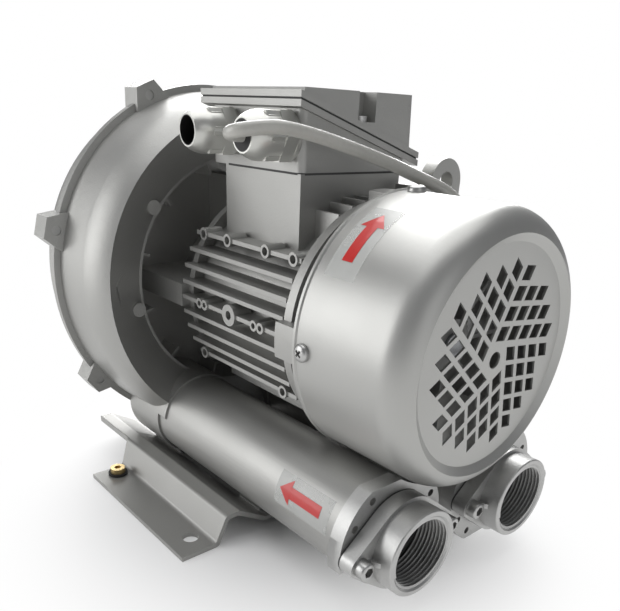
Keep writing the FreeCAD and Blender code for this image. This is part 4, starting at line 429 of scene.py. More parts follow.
@dataclass(frozen=True)
class GlandShell(Finish):
    """Bright grey cable gland, with painted shade inside its bore."""

    bore: float = 0.0075
    bore_edge: Pair = (-0.0001, 0.0003)
    bore_shade_colour: Colour = (0.012, 0.012, 0.012)

    def dress(self, recipe: Recipe) -> None:
        """Part the outside from the painted shade in the bore by the distance to the nearer gland's
        axis.

        Args:
            recipe: The material.
        """
        x, _, z = recipe.axes()
        radii = []
        for station, height in gland_axes():
            run, rise = x - station * MM, z - height * MM
            radii.append((run * run + rise * rise) ** 0.5)
        inner, outer = (self.bore + step for step in self.bore_edge)
        outside = radii[0].least(radii[1]).ramp(inner, outer)
        grain = recipe.noise(scale=900.0, detail=2.0)
        # The bore is painted near black and not metallic: painted shade in the recess.
        recipe.shade(Base_Color=recipe.mix(outside, self.bore_shade_colour, self.colour),
                     Metallic=outside * 0.7, Roughness=grain.swing(0.08) + 0.32)
        recipe.bump(grain, depth=0.00001, strength=0.4)


@dataclass(frozen=True)
class Film(Finish):
    """Thin clear film with a faint sheen."""

    roughness: float = 0.28
    alpha: float = 0.30

    def dress(self, recipe: Recipe) -> None:
        """Add soft ripples.

        Args:
            recipe: The material.
        """
        ripple = recipe.noise(scale=60.0)
        recipe.shade(Base_Color=self.colour, Roughness=ripple.swing(0.2) + self.roughness,
                     Alpha=ripple.swing(0.12) + self.alpha)
        recipe.bump(ripple, depth=0.00004, strength=0.5)


@dataclass(frozen=True)
class Laminated(Finish):
    """Stack of thin steel sheets, striped along the motor axis."""

    pitch: float = 0.0005

    def dress(self, recipe: Recipe) -> None:
        """Add one stripe for each sheet.

        Args:
            recipe: The material.
        """
        stripe = (recipe.axes()[0] * (2 * math.pi / self.pitch)).sine() * 0.5 + 0.5
        recipe.tint(stripe, self.colour, 0.55)
        recipe.shade(Metallic=0.7, Roughness=stripe * 0.2 + 0.4)
        recipe.bump(stripe, depth=0.00005, strength=0.5)


@dataclass(frozen=True)
class Wound(Finish):
    """Varnished copper wire, laid round the motor axis."""

    pitch: float = 0.0011

    def dress(self, recipe: Recipe) -> None:
        """Add one ridge for each wire, a little uneven, with painted shade in the grooves between
        wires.

        Args:
            recipe: The material.
        """
        along = recipe.axes()[0] + recipe.noise(scale=90.0) * 0.002
        wire_ridges_and_shade = (along * (2 * math.pi / self.pitch)).sine() * 0.5 + 0.5
        # Painted shade: each wire is darker towards the grooves beside it.
        recipe.tint(wire_ridges_and_shade, self.colour, 0.4)
        recipe.shade(Roughness=wire_ridges_and_shade * 0.1 + 0.3, Coat_Weight=0.4)
        recipe.bump(wire_ridges_and_shade, depth=0.0003, strength=0.8)


SILVER = (0.41, 0.409, 0.395)
FINISHES: Dict[str, Finish] = {finish.name: finish for finish in (
    Paint("cast_silver", SILVER, Surface.SAND_CAST, roughness=0.47, metallic=0.75),
    Paint("tube_silver", SILVER, Surface.EXTRUDED, roughness=0.44, metallic=0.70),
    Paint("cowl_silver", (0.45, 0.45, 0.435), Surface.PRESSED, roughness=0.42, metallic=0.70),
    Paint("foot_silver", (0.36, 0.358, 0.345), Surface.PRESSED, roughness=0.48, metallic=0.60),
    Metal("port_alloy", (0.58, 0.58, 0.57), roughness=0.46, grain=800.0, depth=0.0001),
    Metal("wheel_alloy", (0.62, 0.62, 0.63), roughness=0.42, grain=600.0, depth=0.0001),
    GlandShell("gland_silver", (0.60, 0.60, 0.57)),
    Metal("zinc_plate", (0.55, 0.55, 0.54), roughness=0.36, grain=1200.0),
    Metal("yellow_zinc", (0.66, 0.50, 0.24), roughness=0.34, grain=1200.0),
    Metal("bearing_steel", (0.52, 0.53, 0.55), roughness=0.22, grain=1600.0, depth=0.00003,
          stretch=(1.0, 0.1, 0.1)),
    Laminated("stacked_steel", (0.34, 0.34, 0.36)),
    Wound("copper_wire", (0.50, 0.20, 0.07)),
    Polymer("grey_nylon", (0.30, 0.30, 0.29), roughness=0.45),
    Polymer("black_rubber", (0.018, 0.018, 0.018), roughness=0.7, grain=900.0, depth=0.00008),
    # Dark fibre of the real gaskets, and also the painted shade in the terminal box's seam.
    Polymer("fibre_sheet", (0.060, 0.060, 0.060), roughness=0.75, grain=1400.0, depth=0.00008),
    Polymer("open_foam", (0.07, 0.07, 0.07), roughness=0.9, grain=420.0, depth=0.0009),
    Polymer("cord_grey", (0.45, 0.445, 0.415), roughness=0.34, grain=600.0, depth=0.00002,
            coat=0.3),
    Polymer("cream_resin", (0.62, 0.58, 0.46), roughness=0.35, grain=500.0, depth=0.00002,
            coat=0.3),
    Polymer("white_can", (0.74, 0.74, 0.72), roughness=0.3, grain=500.0, depth=0.00002, coat=0.4),
    Polymer("arrow_red", (0.56, 0.014, 0.012), roughness=0.35, grain=900.0, depth=0.00001,
            coat=0.3),
    Film("clear_film", (0.78, 0.79, 0.77)),
)}

FINISHED_NODES: Dict[str, Tuple[str, ...]] = {
    "cast_silver": ("ring_housing", "ring_cover", "motor_bracket", "motor_frame", "fan_end_shield",
                    "terminal_box", "terminal_lid"),
    "tube_silver": ("near_silencer", "far_silencer"),
    "cowl_silver": ("fan_cowl",),
    "foot_silver": ("foot_plate",),
    "port_alloy": ("near_end_plate", "far_end_plate", "near_port_flange", "far_port_flange"),
    "wheel_alloy": ("impeller",),
    "gland_silver": ("gland_1_body", "gland_1_cap", "gland_2_body", "gland_2_cap"),
    "zinc_plate": ("cover_screws", "cowl_screws", "lid_screws", "flange_screws", "foot_screws",
                   "impeller_washer", "impeller_nut"),
    "yellow_zinc": ("foot_bolts",),
    "bearing_steel": ("motor_shaft", "impeller_key", "front_bearing_outer", "front_bearing_inner",
                      "rear_bearing_outer", "rear_bearing_inner"),
    "stacked_steel": ("rotor_core", "stator_core"),
    "copper_wire": ("stator_windings",),
    "grey_nylon": ("cooling_fan",),
    "black_rubber": ("gland_1_seal", "gland_2_seal", "shaft_seal", "foot_grommets"),
    "fibre_sheet": ("lid_gasket", "near_port_gasket", "far_port_gasket"),
    "open_foam": ("near_foam_lining", "far_foam_lining"),
    "cord_grey": ("mains_plug", "cord_run", "cord_coil", "cord_tail"),
    "cream_resin": ("terminal_block",),
    "white_can": ("run_capacitor",),
}


def stood(name: str, data: bpy.types.ID) -> bpy.types.Object:
    """Make an object and link it to the scene.

    Args:
        name: The object's name.
        data: Its mesh, curve, lamp or camera.

    Returns:
        The object.
    """
    item = bpy.data.objects.new(name, data)
    bpy.context.scene.collection.objects.link(item)
    return item


@dataclass
class Workshop:
    """Knows the part's places, keeps the materials and turns raw meshes into pieces."""

    at: Stations
    materials: Dict[str, bpy.types.Material] = field(default_factory=dict)

    def finish(self, name: str) -> bpy.types.Material:
        """Find the material of a finish, made on first use.

        Args:
            name: The finish's name.

        Returns:
            The material.
        """
        if name not in self.materials:
            self.materials[name] = FINISHES[name].build()
        return self.materials[name]

    def dress_nodes(self, nodes: Dict[str, bpy.types.Object]) -> None:
        """Give every node of the part its finish.

        Args:
            nodes: The part's nodes by name.
        """
        for finish, names in FINISHED_NODES.items():
            for item in (nodes[name] for name in names):
                if not item.material_slots:
                    item.data.materials.append(self.finish(finish))
                for slot in item.material_slots:
                    slot.material = self.finish(finish)

    def hand_over(self, item: bpy.types.Object, slot: str, replaces: Sequence[str] = ()) -> None:
        """Fix an object to the blower's standing body.

        Args:
            item: The object.
            slot: Name of the record's material slot for it, which is only logged.
            replaces: Nodes that it stands for.
        """
        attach(item, "blower")
        if replaces:
            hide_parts(*replaces)
        LOG.info("%s takes %s, replaces %s", item.name, slot, ", ".join(replaces) or "nothing")

    def piece(self, name: str, mesh: bpy.types.Mesh, finish: str, slot: str,
              replaces: Sequence[str] = ()) -> None:
        """Make a finished piece of a mesh.

        Args:
            name: The piece's name.
            mesh: Its mesh, in metres in the part's frame.
            finish: The name of its finish.
            slot: Name of the record's material slot for it, which is only logged.
            replaces: Nodes that it stands for.
        """
        mesh.name = name
        mesh.materials.clear()
        mesh.materials.append(self.finish(finish))
        self.hand_over(stood(name, mesh), slot, replaces)


def polar(radius: float, turn: float) -> Pair:
    """The two parts of a radius that is turned by an angle in radians."""
    return radius * math.cos(turn), radius * math.sin(turn)


def beside(axis: Pair, station: float, radius: float, turn: float) -> Point:
    """Find a place at a distance from an axis that runs along X.

    Args:
        axis: The axis's Y and Z.
        station: The place's X.
        radius: Its distance from the axis.
        turn: Its angle in radians, from Y towards Z.

    Returns:
        The place.
    """
    y, z = polar(radius, turn)
    return station, axis[0] + y, axis[1] + z


def shift(place: Sequence[float]) -> Matrix:
    """Frame that stands unturned at a place in millimetres."""
    return Matrix.Translation(Vector(place) * MM)


def finished(shape: bmesh.types.BMesh, smooth: bool = True) -> bpy.types.Mesh:
    """Turn a drawn shape into a mesh.

    Args:
        shape: The shape, which is used up.
        smooth: Whether shallow edges are shaded smooth.

    Returns:
        The mesh, with its doubles merged and its faces outwards.
    """
    bmesh.ops.remove_doubles(shape, verts=shape.verts, dist=1e-7)
    bmesh.ops.recalc_face_normals(shape, faces=shape.faces)
    mesh = bpy.data.meshes.new("mesh")
    shape.to_mesh(mesh)
    shape.free()
    if smooth:
        mesh.polygons.foreach_set("use_smooth", [True] * len(mesh.polygons))
        mesh.set_sharp_from_angle(angle=SMOOTH_BELOW)
    return mesh


def skin(rows: Sequence[Sequence[Sequence[float]]], closed: bool = True,
         smooth: bool = True) -> bpy.types.Mesh:
    """Stretch faces over rows of places.

    Args:
        rows: The rows in order, each of places in millimetres; a row of one place is a pole.
        closed: Whether the rows are rims, and the outer ones get an end face.
        smooth: Whether shallow edges are shaded smooth.

    Returns:
        The mesh.
    """
    shape = bmesh.new()
    rims = [[shape.verts.new(Vector(place) * MM) for place in row] for row in rows]
    for first, second in zip(rims, rims[1:]):
        count = max(len(first), len(second))
        for n in range(count if closed else count - 1):
            corners = (first[n % len(first)], first[(n + 1) % len(first)],
                       second[(n + 1) % len(second)], second[n % len(second)])
            shape.faces.new(list(dict.fromkeys(corners)))
    if closed:
        ends = [shape.faces.new(rim) for rim in (rims[0][::-1], rims[-1]) if len(rim) > 1]
        bmesh.ops.triangulate(shape, faces=[end for end in ends if len(end.verts) > 4])
    return finished(shape, smooth)


def turned(profile: Sequence[Pair], steps: int, smooth: bool = True,
           knurled: Sequence[int] = (), knurl: float = 0.0) -> bpy.types.Mesh:
    """Turn a profile about the X axis.

    Args:
        profile: Pairs of a station and a radius in millimetres, from pole to pole.
        steps: Faces round the turn.
        smooth: Whether shallow edges are shaded smooth.
        knurled: Numbers of the pairs that are knurled.
        knurl: How far every second step of those stands back.

    Returns:
        The mesh.
    """
    rims = []
    for index, (station, radius) in enumerate(profile):
        radii = (radius, radius - knurl if index in knurled else radius)
        rims.append([(station, *polar(radii[n % 2], 2 * math.pi * n / steps))
                     for n in range(steps if radius else 1)])
    return skin(rims, smooth=smooth)


def settled(item: bpy.types.Object, helper: bpy.types.Object) -> bpy.types.Mesh:
    """Apply an object's modifier, and remove the object and its helper.

    Args:
        item: The object with the modifier.
        helper: The object that the modifier reads.

    Returns:
        The plain mesh.
    """
    graph = bpy.context.evaluated_depsgraph_get()
    mesh = bpy.data.meshes.new_from_object(item.evaluated_get(graph))
    item.modifiers.clear()
    bpy.data.objects.remove(item)
    bpy.data.objects.remove(helper)
    return mesh


def carved(mesh: bpy.types.Mesh, tool: bpy.types.Mesh) -> bpy.types.Mesh:
    """Cut one closed mesh out of another.

    Args:
        mesh: What is cut.
        tool: What is taken away.

    Returns:
        A new mesh.
    """
    blank, cutter = stood("blank", mesh), stood("cutter", tool)
    boolean = blank.modifiers.new("cut", "BOOLEAN")
    boolean.operation = "DIFFERENCE"
    boolean.solver = "EXACT"
    boolean.object = cutter
    return settled(blank, cutter)


def repeated(name: str, prototype: bpy.types.Mesh, places: Sequence[Matrix],
             material: bpy.types.Material, scale: float = 1.0) -> bpy.types.Mesh:
    """Set one shape at many places with Geometry Nodes.

    Args:
        name: Name of the node tree.
        prototype: The shape, in its own frame.
        places: Where copies go, each with its turn.
        material: The finish of all copies.
        scale: Size of the copies.

    Returns:
        One plain mesh of all copies.
    """
    points = bpy.data.meshes.new(name + "_points")
    points.from_pydata([tuple(place.translation) for place in places], [], [])
    turns = points.attributes.new("turn", "FLOAT_VECTOR", "POINT")
    for item, place in zip(turns.data, places):
        item.vector = tuple(place.to_euler("XYZ"))

    tree = bpy.data.node_groups.new(name + "_repeat", "GeometryNodeTree")
    keys = {title: tree.interface.new_socket(title, in_out="INPUT",
                                             socket_type="NodeSocket" + kind).identifier
            for title, kind in (("Places", "Geometry"), ("Shape", "Object"), ("Scale", "Float"),
                                ("Finish", "Material"))}
    tree.interface.new_socket("Result", in_out="OUTPUT", socket_type="NodeSocketGeometry")
    graph = Graph(tree)
    given = graph.node("NodeGroupInput").outputs
    shape = graph.node("GeometryNodeObjectInfo", inputs={"Object": given["Shape"]})
    turn = graph.node("GeometryNodeInputNamedAttribute", {"data_type": "FLOAT_VECTOR"},
                      {"Name": "turn"})
    rotation = graph.node("FunctionNodeEulerToRotation",
                          inputs={"Euler": turn.outputs["Attribute"]})
    spread = graph.node("GeometryNodeInstanceOnPoints", inputs={
        "Points": given["Places"], "Instance": shape.outputs["Geometry"],
        "Rotation": rotation.outputs["Rotation"], "Scale": given["Scale"]})
    real = graph.node("GeometryNodeRealizeInstances",
                      inputs={"Geometry": spread.outputs["Instances"]})
    paint = graph.node("GeometryNodeSetMaterial", inputs={
        "Geometry": real.outputs["Geometry"], "Material": given["Finish"]})
    graph.node("NodeGroupOutput", inputs={"Result": paint.outputs["Geometry"]})

    carrier, pattern = stood(name + "_carrier", points), stood(name + "_pattern", prototype)
    modifier = carrier.modifiers.new("repeat", "NODES")
    modifier.node_group = tree
    for title, value in (("Shape", pattern), ("Scale", scale), ("Finish", material)):
        modifier[keys[title]] = value
    return settled(carrier, pattern)


@dataclass
class SocketScrew:
    """Cap screw with a knurled head and a hexagon socket; the head points along X."""

    shank: float
    head_radius: float = 5.0
    head_height: float = 6.0
    shank_radius: float = 3.0
    lower_edge: Pair = (0.3, 0.2)
    upper_edge: Pair = (0.5, 0.25)
    crown: float = 0.9
    socket: float = 2.9
    socket_floor: Pair = (0.3, 0.9)
    knurls: int = 36
    knurl: float = 0.22

    def mesh(self) -> bpy.types.Mesh:
        """Make the screw with its head's underside at zero.

        Returns:
            The mesh.
        """
        top, radius = self.head_height, self.head_radius
        shank = [(-self.shank, 0.0), (-self.shank, self.shank_radius), (0.0, self.shank_radius)]
        head = [(0.0, radius - self.lower_edge[1]), (self.lower_edge[0], radius),
                (top - self.crown, radius),
                (top - self.upper_edge[0], radius - self.upper_edge[1]),
                (top, radius - self.crown), (top, 0.0)]
        grip = (len(shank) + 1, len(shank) + 2)
        screw = turned(shank + head, self.knurls * 2, knurled=grip, knurl=self.knurl)
        middle, edge = self.socket_floor
        key = [(top + 1, 0.0), (top + 1, self.socket), (edge, self.socket), (middle, 0.0)]
        return carved(screw, turned(key, 6, smooth=False))


@dataclass
class CrossScrew:
    """Pan head screw with a cross recess; the head points along X."""

    head_radius: float = 4.8
    head_height: float = 3.2
    shank_radius: float = 2.5
    shank: float = 9.0
    rim: float = 0.35
    roundness: float = 0.7
    crown_steps: int = 6
    steps: int = 40
    bar_floor: float = 0.25
    bar_reach: float = 0.52
    bar_width: float = 0.13
    bar_taper: float = 0.55

    def mesh(self) -> bpy.types.Mesh:
        """Make the screw with its head's underside at zero.

        Returns:
            The mesh.
        """
        radius, height = self.head_radius, self.head_height
        profile = [(-self.shank, 0.0), (-self.shank, self.shank_radius), (0.0, self.shank_radius),
                   (0.0, radius), (height * self.rim, radius)]
        for n in range(1, self.crown_steps):
            inward, rise = polar(1.0, n / self.crown_steps * math.pi / 2)
            profile.append((height * (self.rim + (1 - self.rim) * rise),
                            radius * inward ** self.roundness))
        screw = turned(profile + [(height, 0.0)], self.steps)
        for turn in (0.0, math.pi / 2):
            screw = carved(screw, self.bar(turn))
        return screw

    def bar(self, turn: float) -> bpy.types.Mesh:
        """Make one bar of the cross, narrower at its bottom.

        Args:
            turn: Its angle in radians.

        Returns:
            The mesh.
        """
        rotation = Matrix.Rotation(turn, 3, "X")
        rims = []
        for x, share in ((self.head_height * self.bar_floor, self.bar_taper),
                         (self.head_height + 0.5, 1.0)):
            y, z = self.head_radius * self.bar_reach * share, self.head_radius * self.bar_width
            rims.append([rotation @ Vector((x, y * along, z * across))
                         for along, across in ((-1, -1), (1, -1), (1, 1), (-1, 1))])
        return skin(rims, smooth=False)


@dataclass
class Fasteners:
    """All screws that show their heads, each turned in by a different amount."""

    workshop: Workshop
    flange_reach: float = 33.0
    flange_shank: float = 15.9
    lug_angle: float = 163.9
    lug_count: int = 7
    lug_circle: float = 121.0
    lug_shank: float = 15.4
    cowl_count: int = 4
    cowl_radius: float = 72.7

    def place(self, at: Sequence[float], out: Point, roll: float) -> Matrix:
        """Work out the frame of one screw.

        Args:
            at: Place of its head's underside in millimetres.
            out: The way that the head points.
            roll: Its turn about itself in radians.

        Returns:
            The frame.
        """
        facing = Vector(out).to_track_quat("X", "Z").to_matrix().to_4x4()
        return shift(at) @ facing @ Matrix.Rotation(roll, 4, "X")

    def group(self, node: str, name: str, screw: Union[SocketScrew, CrossScrew],
              places: Sequence[Matrix]) -> None:
        """Set one kind of screw at all its places.

        Args:
            node: The node that these screws stand for.
            name: The piece's name.
            screw: The screw.
            places: The frames of all copies.
        """
        mesh = repeated(node, screw.mesh(), places, self.workshop.finish("zinc_plate"))
        self.workshop.piece(name, mesh, "zinc_plate", "zinc_steel", replaces=[node])

    def flange(self) -> None:
        """Four socket screws of the port flanges."""
        screw = SocketScrew(self.flange_shank)
        face = place_in("flange_screws", 1)[0] - screw.head_height
        places = []
        for side in Side:
            y, z = self.workshop.at.tube_axes[side]
            for turn in (-1, 1):
                places.append(self.place((face, y + turn * self.flange_reach, z), (1, 0, 0),
                                         0.3 * turn + side.value))
        self.group("flange_screws", "flange_cap_screws", screw, places)

    def cover(self) -> None:
        """Seven socket screws that close the ring casing."""
        screw = SocketScrew(self.lug_shank)
        back = place_in("cover_screws", 0)[0] + screw.head_height
        places = []
        for n in range(self.lug_count):
            turn = math.radians(self.lug_angle + n * 360 / self.lug_count)
            at = beside(self.workshop.at.motor_axis, back, self.lug_circle, turn)
            places.append(self.place(at, (-1, 0, 0), n * 0.7))
        self.group("cover_screws", "cover_cap_screws", screw, places)

    def cowl(self) -> None:
        """Four pan head screws at the back of the cowl."""
        row = place_in("cowl_screws")[0]
        places = []
        for n in range(self.cowl_count):
            turn = n * 2 * math.pi / self.cowl_count
            at = beside(self.workshop.at.motor_axis, row, self.cowl_radius, turn)
            places.append(self.place(at, (0, *polar(1.0, turn)), 0.4 + n))
        self.group("cowl_screws", "cowl_pan_screws", CrossScrew(), places)

    def build(self) -> None:
        """Make every group of screws."""
        self.flange()
        self.cover()
        self.cowl()


@dataclass
class DirectionArrow:
    """Plain red arrow on a pale film, laid on a round surface."""

    workshop: Workshop
    name: str
    length: float
    width: float = 7.0
    head_width: float = 15.0
    head_length: float = 9.0
    film_length: float = 44.0
    film_width: float = 20.0
    film_shift: float = -2.0
    thickness: float = 0.05
    film_lift: float = 0.12
    arrow_lift: float = 0.22
    tip: Pair = (0.01, 0.02)
    steps: int = 12
    head_steps: int = 8
    steps_across: int = 6

    def on(self, along: float, across: float, lift: float) -> Point:
        """Place over the surface, along and across the arrow, in millimetres."""
        raise NotImplementedError

    def strip(self, rows: Sequence[Pair], lift: float) -> bpy.types.Mesh:
        """Make a thin closed strip that follows the surface.

        Args:
            rows: Pairs of a place along the strip and half its width there.
            lift: How far the strip's upper side stands off the surface.

        Returns:
            The mesh.
        """
        rims = []
        for along, half in rows:
            line = [half * (2 * n / self.steps_across - 1) for n in range(self.steps_across + 1)]
            rims.append([self.on(along, across, lift - self.thickness) for across in line]
                        + [self.on(along, across, lift) for across in reversed(line)])
        return skin(rims)

    def build(self) -> None:
        """Make the film and the arrow."""
        start = self.film_shift - self.film_length / 2
        film = [(start + self.film_length * n / self.steps, self.film_width / 2)
                for n in range(self.steps + 1)]
        tail, neck = -self.length / 2, self.length / 2 - self.head_length
        arrow = [(tail + (neck - tail) * n / self.steps, self.width / 2)
                 for n in range(self.steps + 1)]
        for n in range(self.head_steps + 1):
            part = n / self.head_steps
            arrow.append((neck + self.head_length * part + self.tip[0],
                          self.head_width / 2 * (1 - part) + self.tip[1]))
        for suffix, rows, lift, finish in (("film", film, self.film_lift, "clear_film"),
                                           ("arrow", arrow, self.arrow_lift, "arrow_red")):
            self.workshop.piece(f"{self.name}_{suffix}", self.strip(rows, lift), finish,
                                "cowl_paint")


@dataclass
class CowlArrow(DirectionArrow):
    """The arrow that runs up and over the fan cowl."""

    name: str = "cowl_turn"
    length: float = 30.0
    radius: float = 72.7
    middle: float = 130.0
    station: float = 91.0

    def on(self, along: float, across: float, lift: float) -> Point:
        """Place over the cowl; across runs towards the ports."""
        turn = math.radians(self.middle) - along / self.radius
        return beside(self.workshop.at.motor_axis, self.station + across, self.radius + lift, turn)


@dataclass
class TubeArrow(DirectionArrow):
    """The arrow that runs back to the ring on the near silencer."""

    name: str = "tube_flow"
    length: float = 34.0
    radius: float = 29.5
    middle: float = 159.7
    station: float = 82.0

    def on(self, along: float, across: float, lift: float) -> Point:
        """Place over the tube; across runs down."""
        turn = math.radians(self.middle) + across / self.radius
        return beside(self.workshop.at.tube_axes[Side.NEAR], self.station - along,
                      self.radius + lift, turn)


@dataclass
class GlandRibs:
    """Fine ribs along the grips of both gland caps."""

    workshop: Workshop
    radius: float = 12.0
    length: float = 7.0
    width: float = 0.75
    root: float = -0.4
    inset: float = 0.6
    spacing: float = 6.5
    panels: int = 6
    ribs: int = 4
    steps: int = 6

    def rib(self) -> bpy.types.Mesh:
        """Make one half round rib along -Y.

        Returns:
            The mesh.
        """
        half = self.width / 2
        arc = [polar(half, math.pi * (n / self.steps - 0.5)) for n in range(self.steps + 1)]
        outline = [(self.root, -half)] + arc + [(self.root, half)]
        return skin([[(x, y, z) for x, z in outline] for y in (0.0, -self.length)])

    def build(self) -> None:
        """Set the ribs round both caps."""
        places = []
        for x, z in gland_axes():
            start = shift((x, self.workshop.at.grip_end - self.inset, z))
            for panel in range(self.panels):
                for n in range(self.ribs):
                    degrees = panel * 360 / self.panels + (n - (self.ribs - 1) / 2) * self.spacing
                    places.append(start @ Matrix.Rotation(math.radians(-degrees), 4, "Y")
                                  @ shift((self.radius, 0.0, 0.0)))
        mesh = repeated("gland_ribs", self.rib(), places, self.workshop.finish("gland_silver"))
        self.workshop.piece("gland_grip_ribs", mesh, "gland_silver", "gland_plastic")


@dataclass
class CastArrow:
    """Raised arrow on the coned face of the ring, which shows the way it turns."""

    workshop: Workshop
    middle: Pair = (-96.0, 2.0)
    sunk: float = 0.8
    rise: float = 0.5
    taper: float = 0.94
    face_inner: Pair = (79.3, 40.7)
    face_outer: Pair = (106.0, 55.5)
    outline: Tuple[Pair, ...] = (
        (-1.5, -11.0), (2.0, -11.0), (1.6, 4.0), (5.0, 4.0), (0.4, 11.0), (-4.4, 4.0), (-1.6, 4.0))

    def face(self, y: float, z: float) -> float:
        """Station of the coned face at a place beside the axis.

        Args:
            y: The place's distance from the axis in Y.
            z: The same in Z.

        Returns:
            Its X.
        """
        (radius, station), (outer_radius, outer_station) = self.face_inner, self.face_outer
        slope = (outer_station - station) / (outer_radius - radius)
        return self.workshop.at.joint + station + (math.hypot(y, z) - radius) * slope

    def build(self) -> None:
        """Make the arrow as a low plateau with sloping sides."""
        axis = self.workshop.at.motor_axis
        rims = []
        for lift, share in ((-self.sunk, 1.0), (self.rise, self.taper)):
            places = [(self.middle[0] + across * share, self.middle[1] + up * share)
                      for across, up in self.outline]
            rims.append([(self.face(y, z) + lift, axis[0] + y, axis[1] + z) for y, z in places])
        self.workshop.piece("cast_turn_arrow", skin(rims), "cast_silver", "cast_paint")


@dataclass
class BoxSeam:
    """Dark band at the seam between the terminal box and the motor's pedestal: painted shade in the
    seam.
    """

    workshop: Workshop
    low: Pair = (-31.5, -41.0)
    high: Pair = (36.5, 34.0)
    corner: float = 3.5
    proud: float = 0.12
    height: float = 1.1
    steps: int = 8

    def rim(self, z: float) -> List[Point]:
        """Work out a rectangle with round corners.

        Args:
            z: Its height.

        Returns:
            The places on it.
        """
        low, high = ([bound + inward for bound in corner]
                     for corner, inward in ((self.low, self.corner), (self.high, -self.corner)))
        centres = ((high[0], high[1]), (low[0], high[1]), (low[0], low[1]), (high[0], low[1]))
        places = []
        for index, centre in enumerate(centres):
            for n in range(self.steps + 1):
                x, y = polar(self.corner + self.proud, math.pi / 2 * (index + n / self.steps))
                places.append((centre[0] + x, centre[1] + y, z))
        return places

    def build(self) -> None:
        """Make the painted seam shade as a dark plate, just proud of both pieces."""
        floor = self.workshop.at.box_floor
        mesh = skin([self.rim(floor - self.height / 2), self.rim(floor + self.height / 2)])
        # Painted shade: this dark plate stands in for the shade in the seam between box and
        # pedestal.
        self.workshop.piece("box_seam", mesh, "fibre_sheet", "gasket_sheet")


@dataclass
class NearPlate:
    """End plate of the near silencer, cut back to the tube at its lower outer corner."""

    workshop: Workshop
    start: float = 193.0
    end: float = 300.0
    inner: float = 29.7
    outer: float = 45.0
    faces: Pair = (116.0, 128.0)
    steps: int = 24

    def corner(self) -> bpy.types.Mesh:
        """Make what is taken away: a part of a ring round the tube.

        Returns:
            The mesh.
        """
        axis = self.workshop.at.tube_axes[Side.NEAR]
        back, front = self.faces
        section = ((back, self.inner), (back, self.outer), (front, self.outer), (front, self.inner))
        rims = []
        for n in range(self.steps + 1):
            turn = math.radians(self.start + (self.end - self.start) * n / self.steps)
            rims.append([beside(axis, station, radius, turn) for station, radius in section])
        return skin(rims, smooth=False)

    def build(self, node: bpy.types.Object) -> None:
        """Make the plate from the part's own.

        Args:
            node: The part's plate.
        """
        shape = bmesh.new()
        shape.from_mesh(node.data)
        plate = carved(finished(shape), self.corner())
        plate.set_sharp_from_angle(angle=SMOOTH_BELOW)
        self.workshop.piece("near_plate_trimmed", plate, "port_alloy", "bare_cast",
                            replaces=["near_end_plate"])


@dataclass
class PortThreads:
    """Pipe threads inside both port collars."""

    workshop: Workshop
    crest: float = 19.5
    root: float = 20.85
    pitch: float = 2.309
    length: float = 19.8
    chamfer: float = 1.0
    steps: int = 72

    def build(self, side: Side) -> None:
        """Make one helical thread as a ribbon with a sawtooth section.

        Args:
            side: The silencer whose collar it is in.
        """
        axis = self.workshop.at.tube_axes[side]
        start = self.workshop.at.port_mouth - self.chamfer - self.length
        tooth = ((0.0, self.root), (0.34, self.root), (0.5, self.crest), (0.62, self.crest),
                 (0.96, self.root))
        rows = []
        for n in range(-self.steps, int(self.steps * self.length / self.pitch)):
            turns = n / self.steps
            rows.append([beside(axis, start + min(max((turns + part) * self.pitch, 0.0),
                                                  self.length), radius, 2 * math.pi * turns)
                         for part, radius in tooth])
        self.workshop.piece(f"{side.name.lower()}_port_thread", skin(rows, closed=False),
                            "port_alloy", "bare_cast")


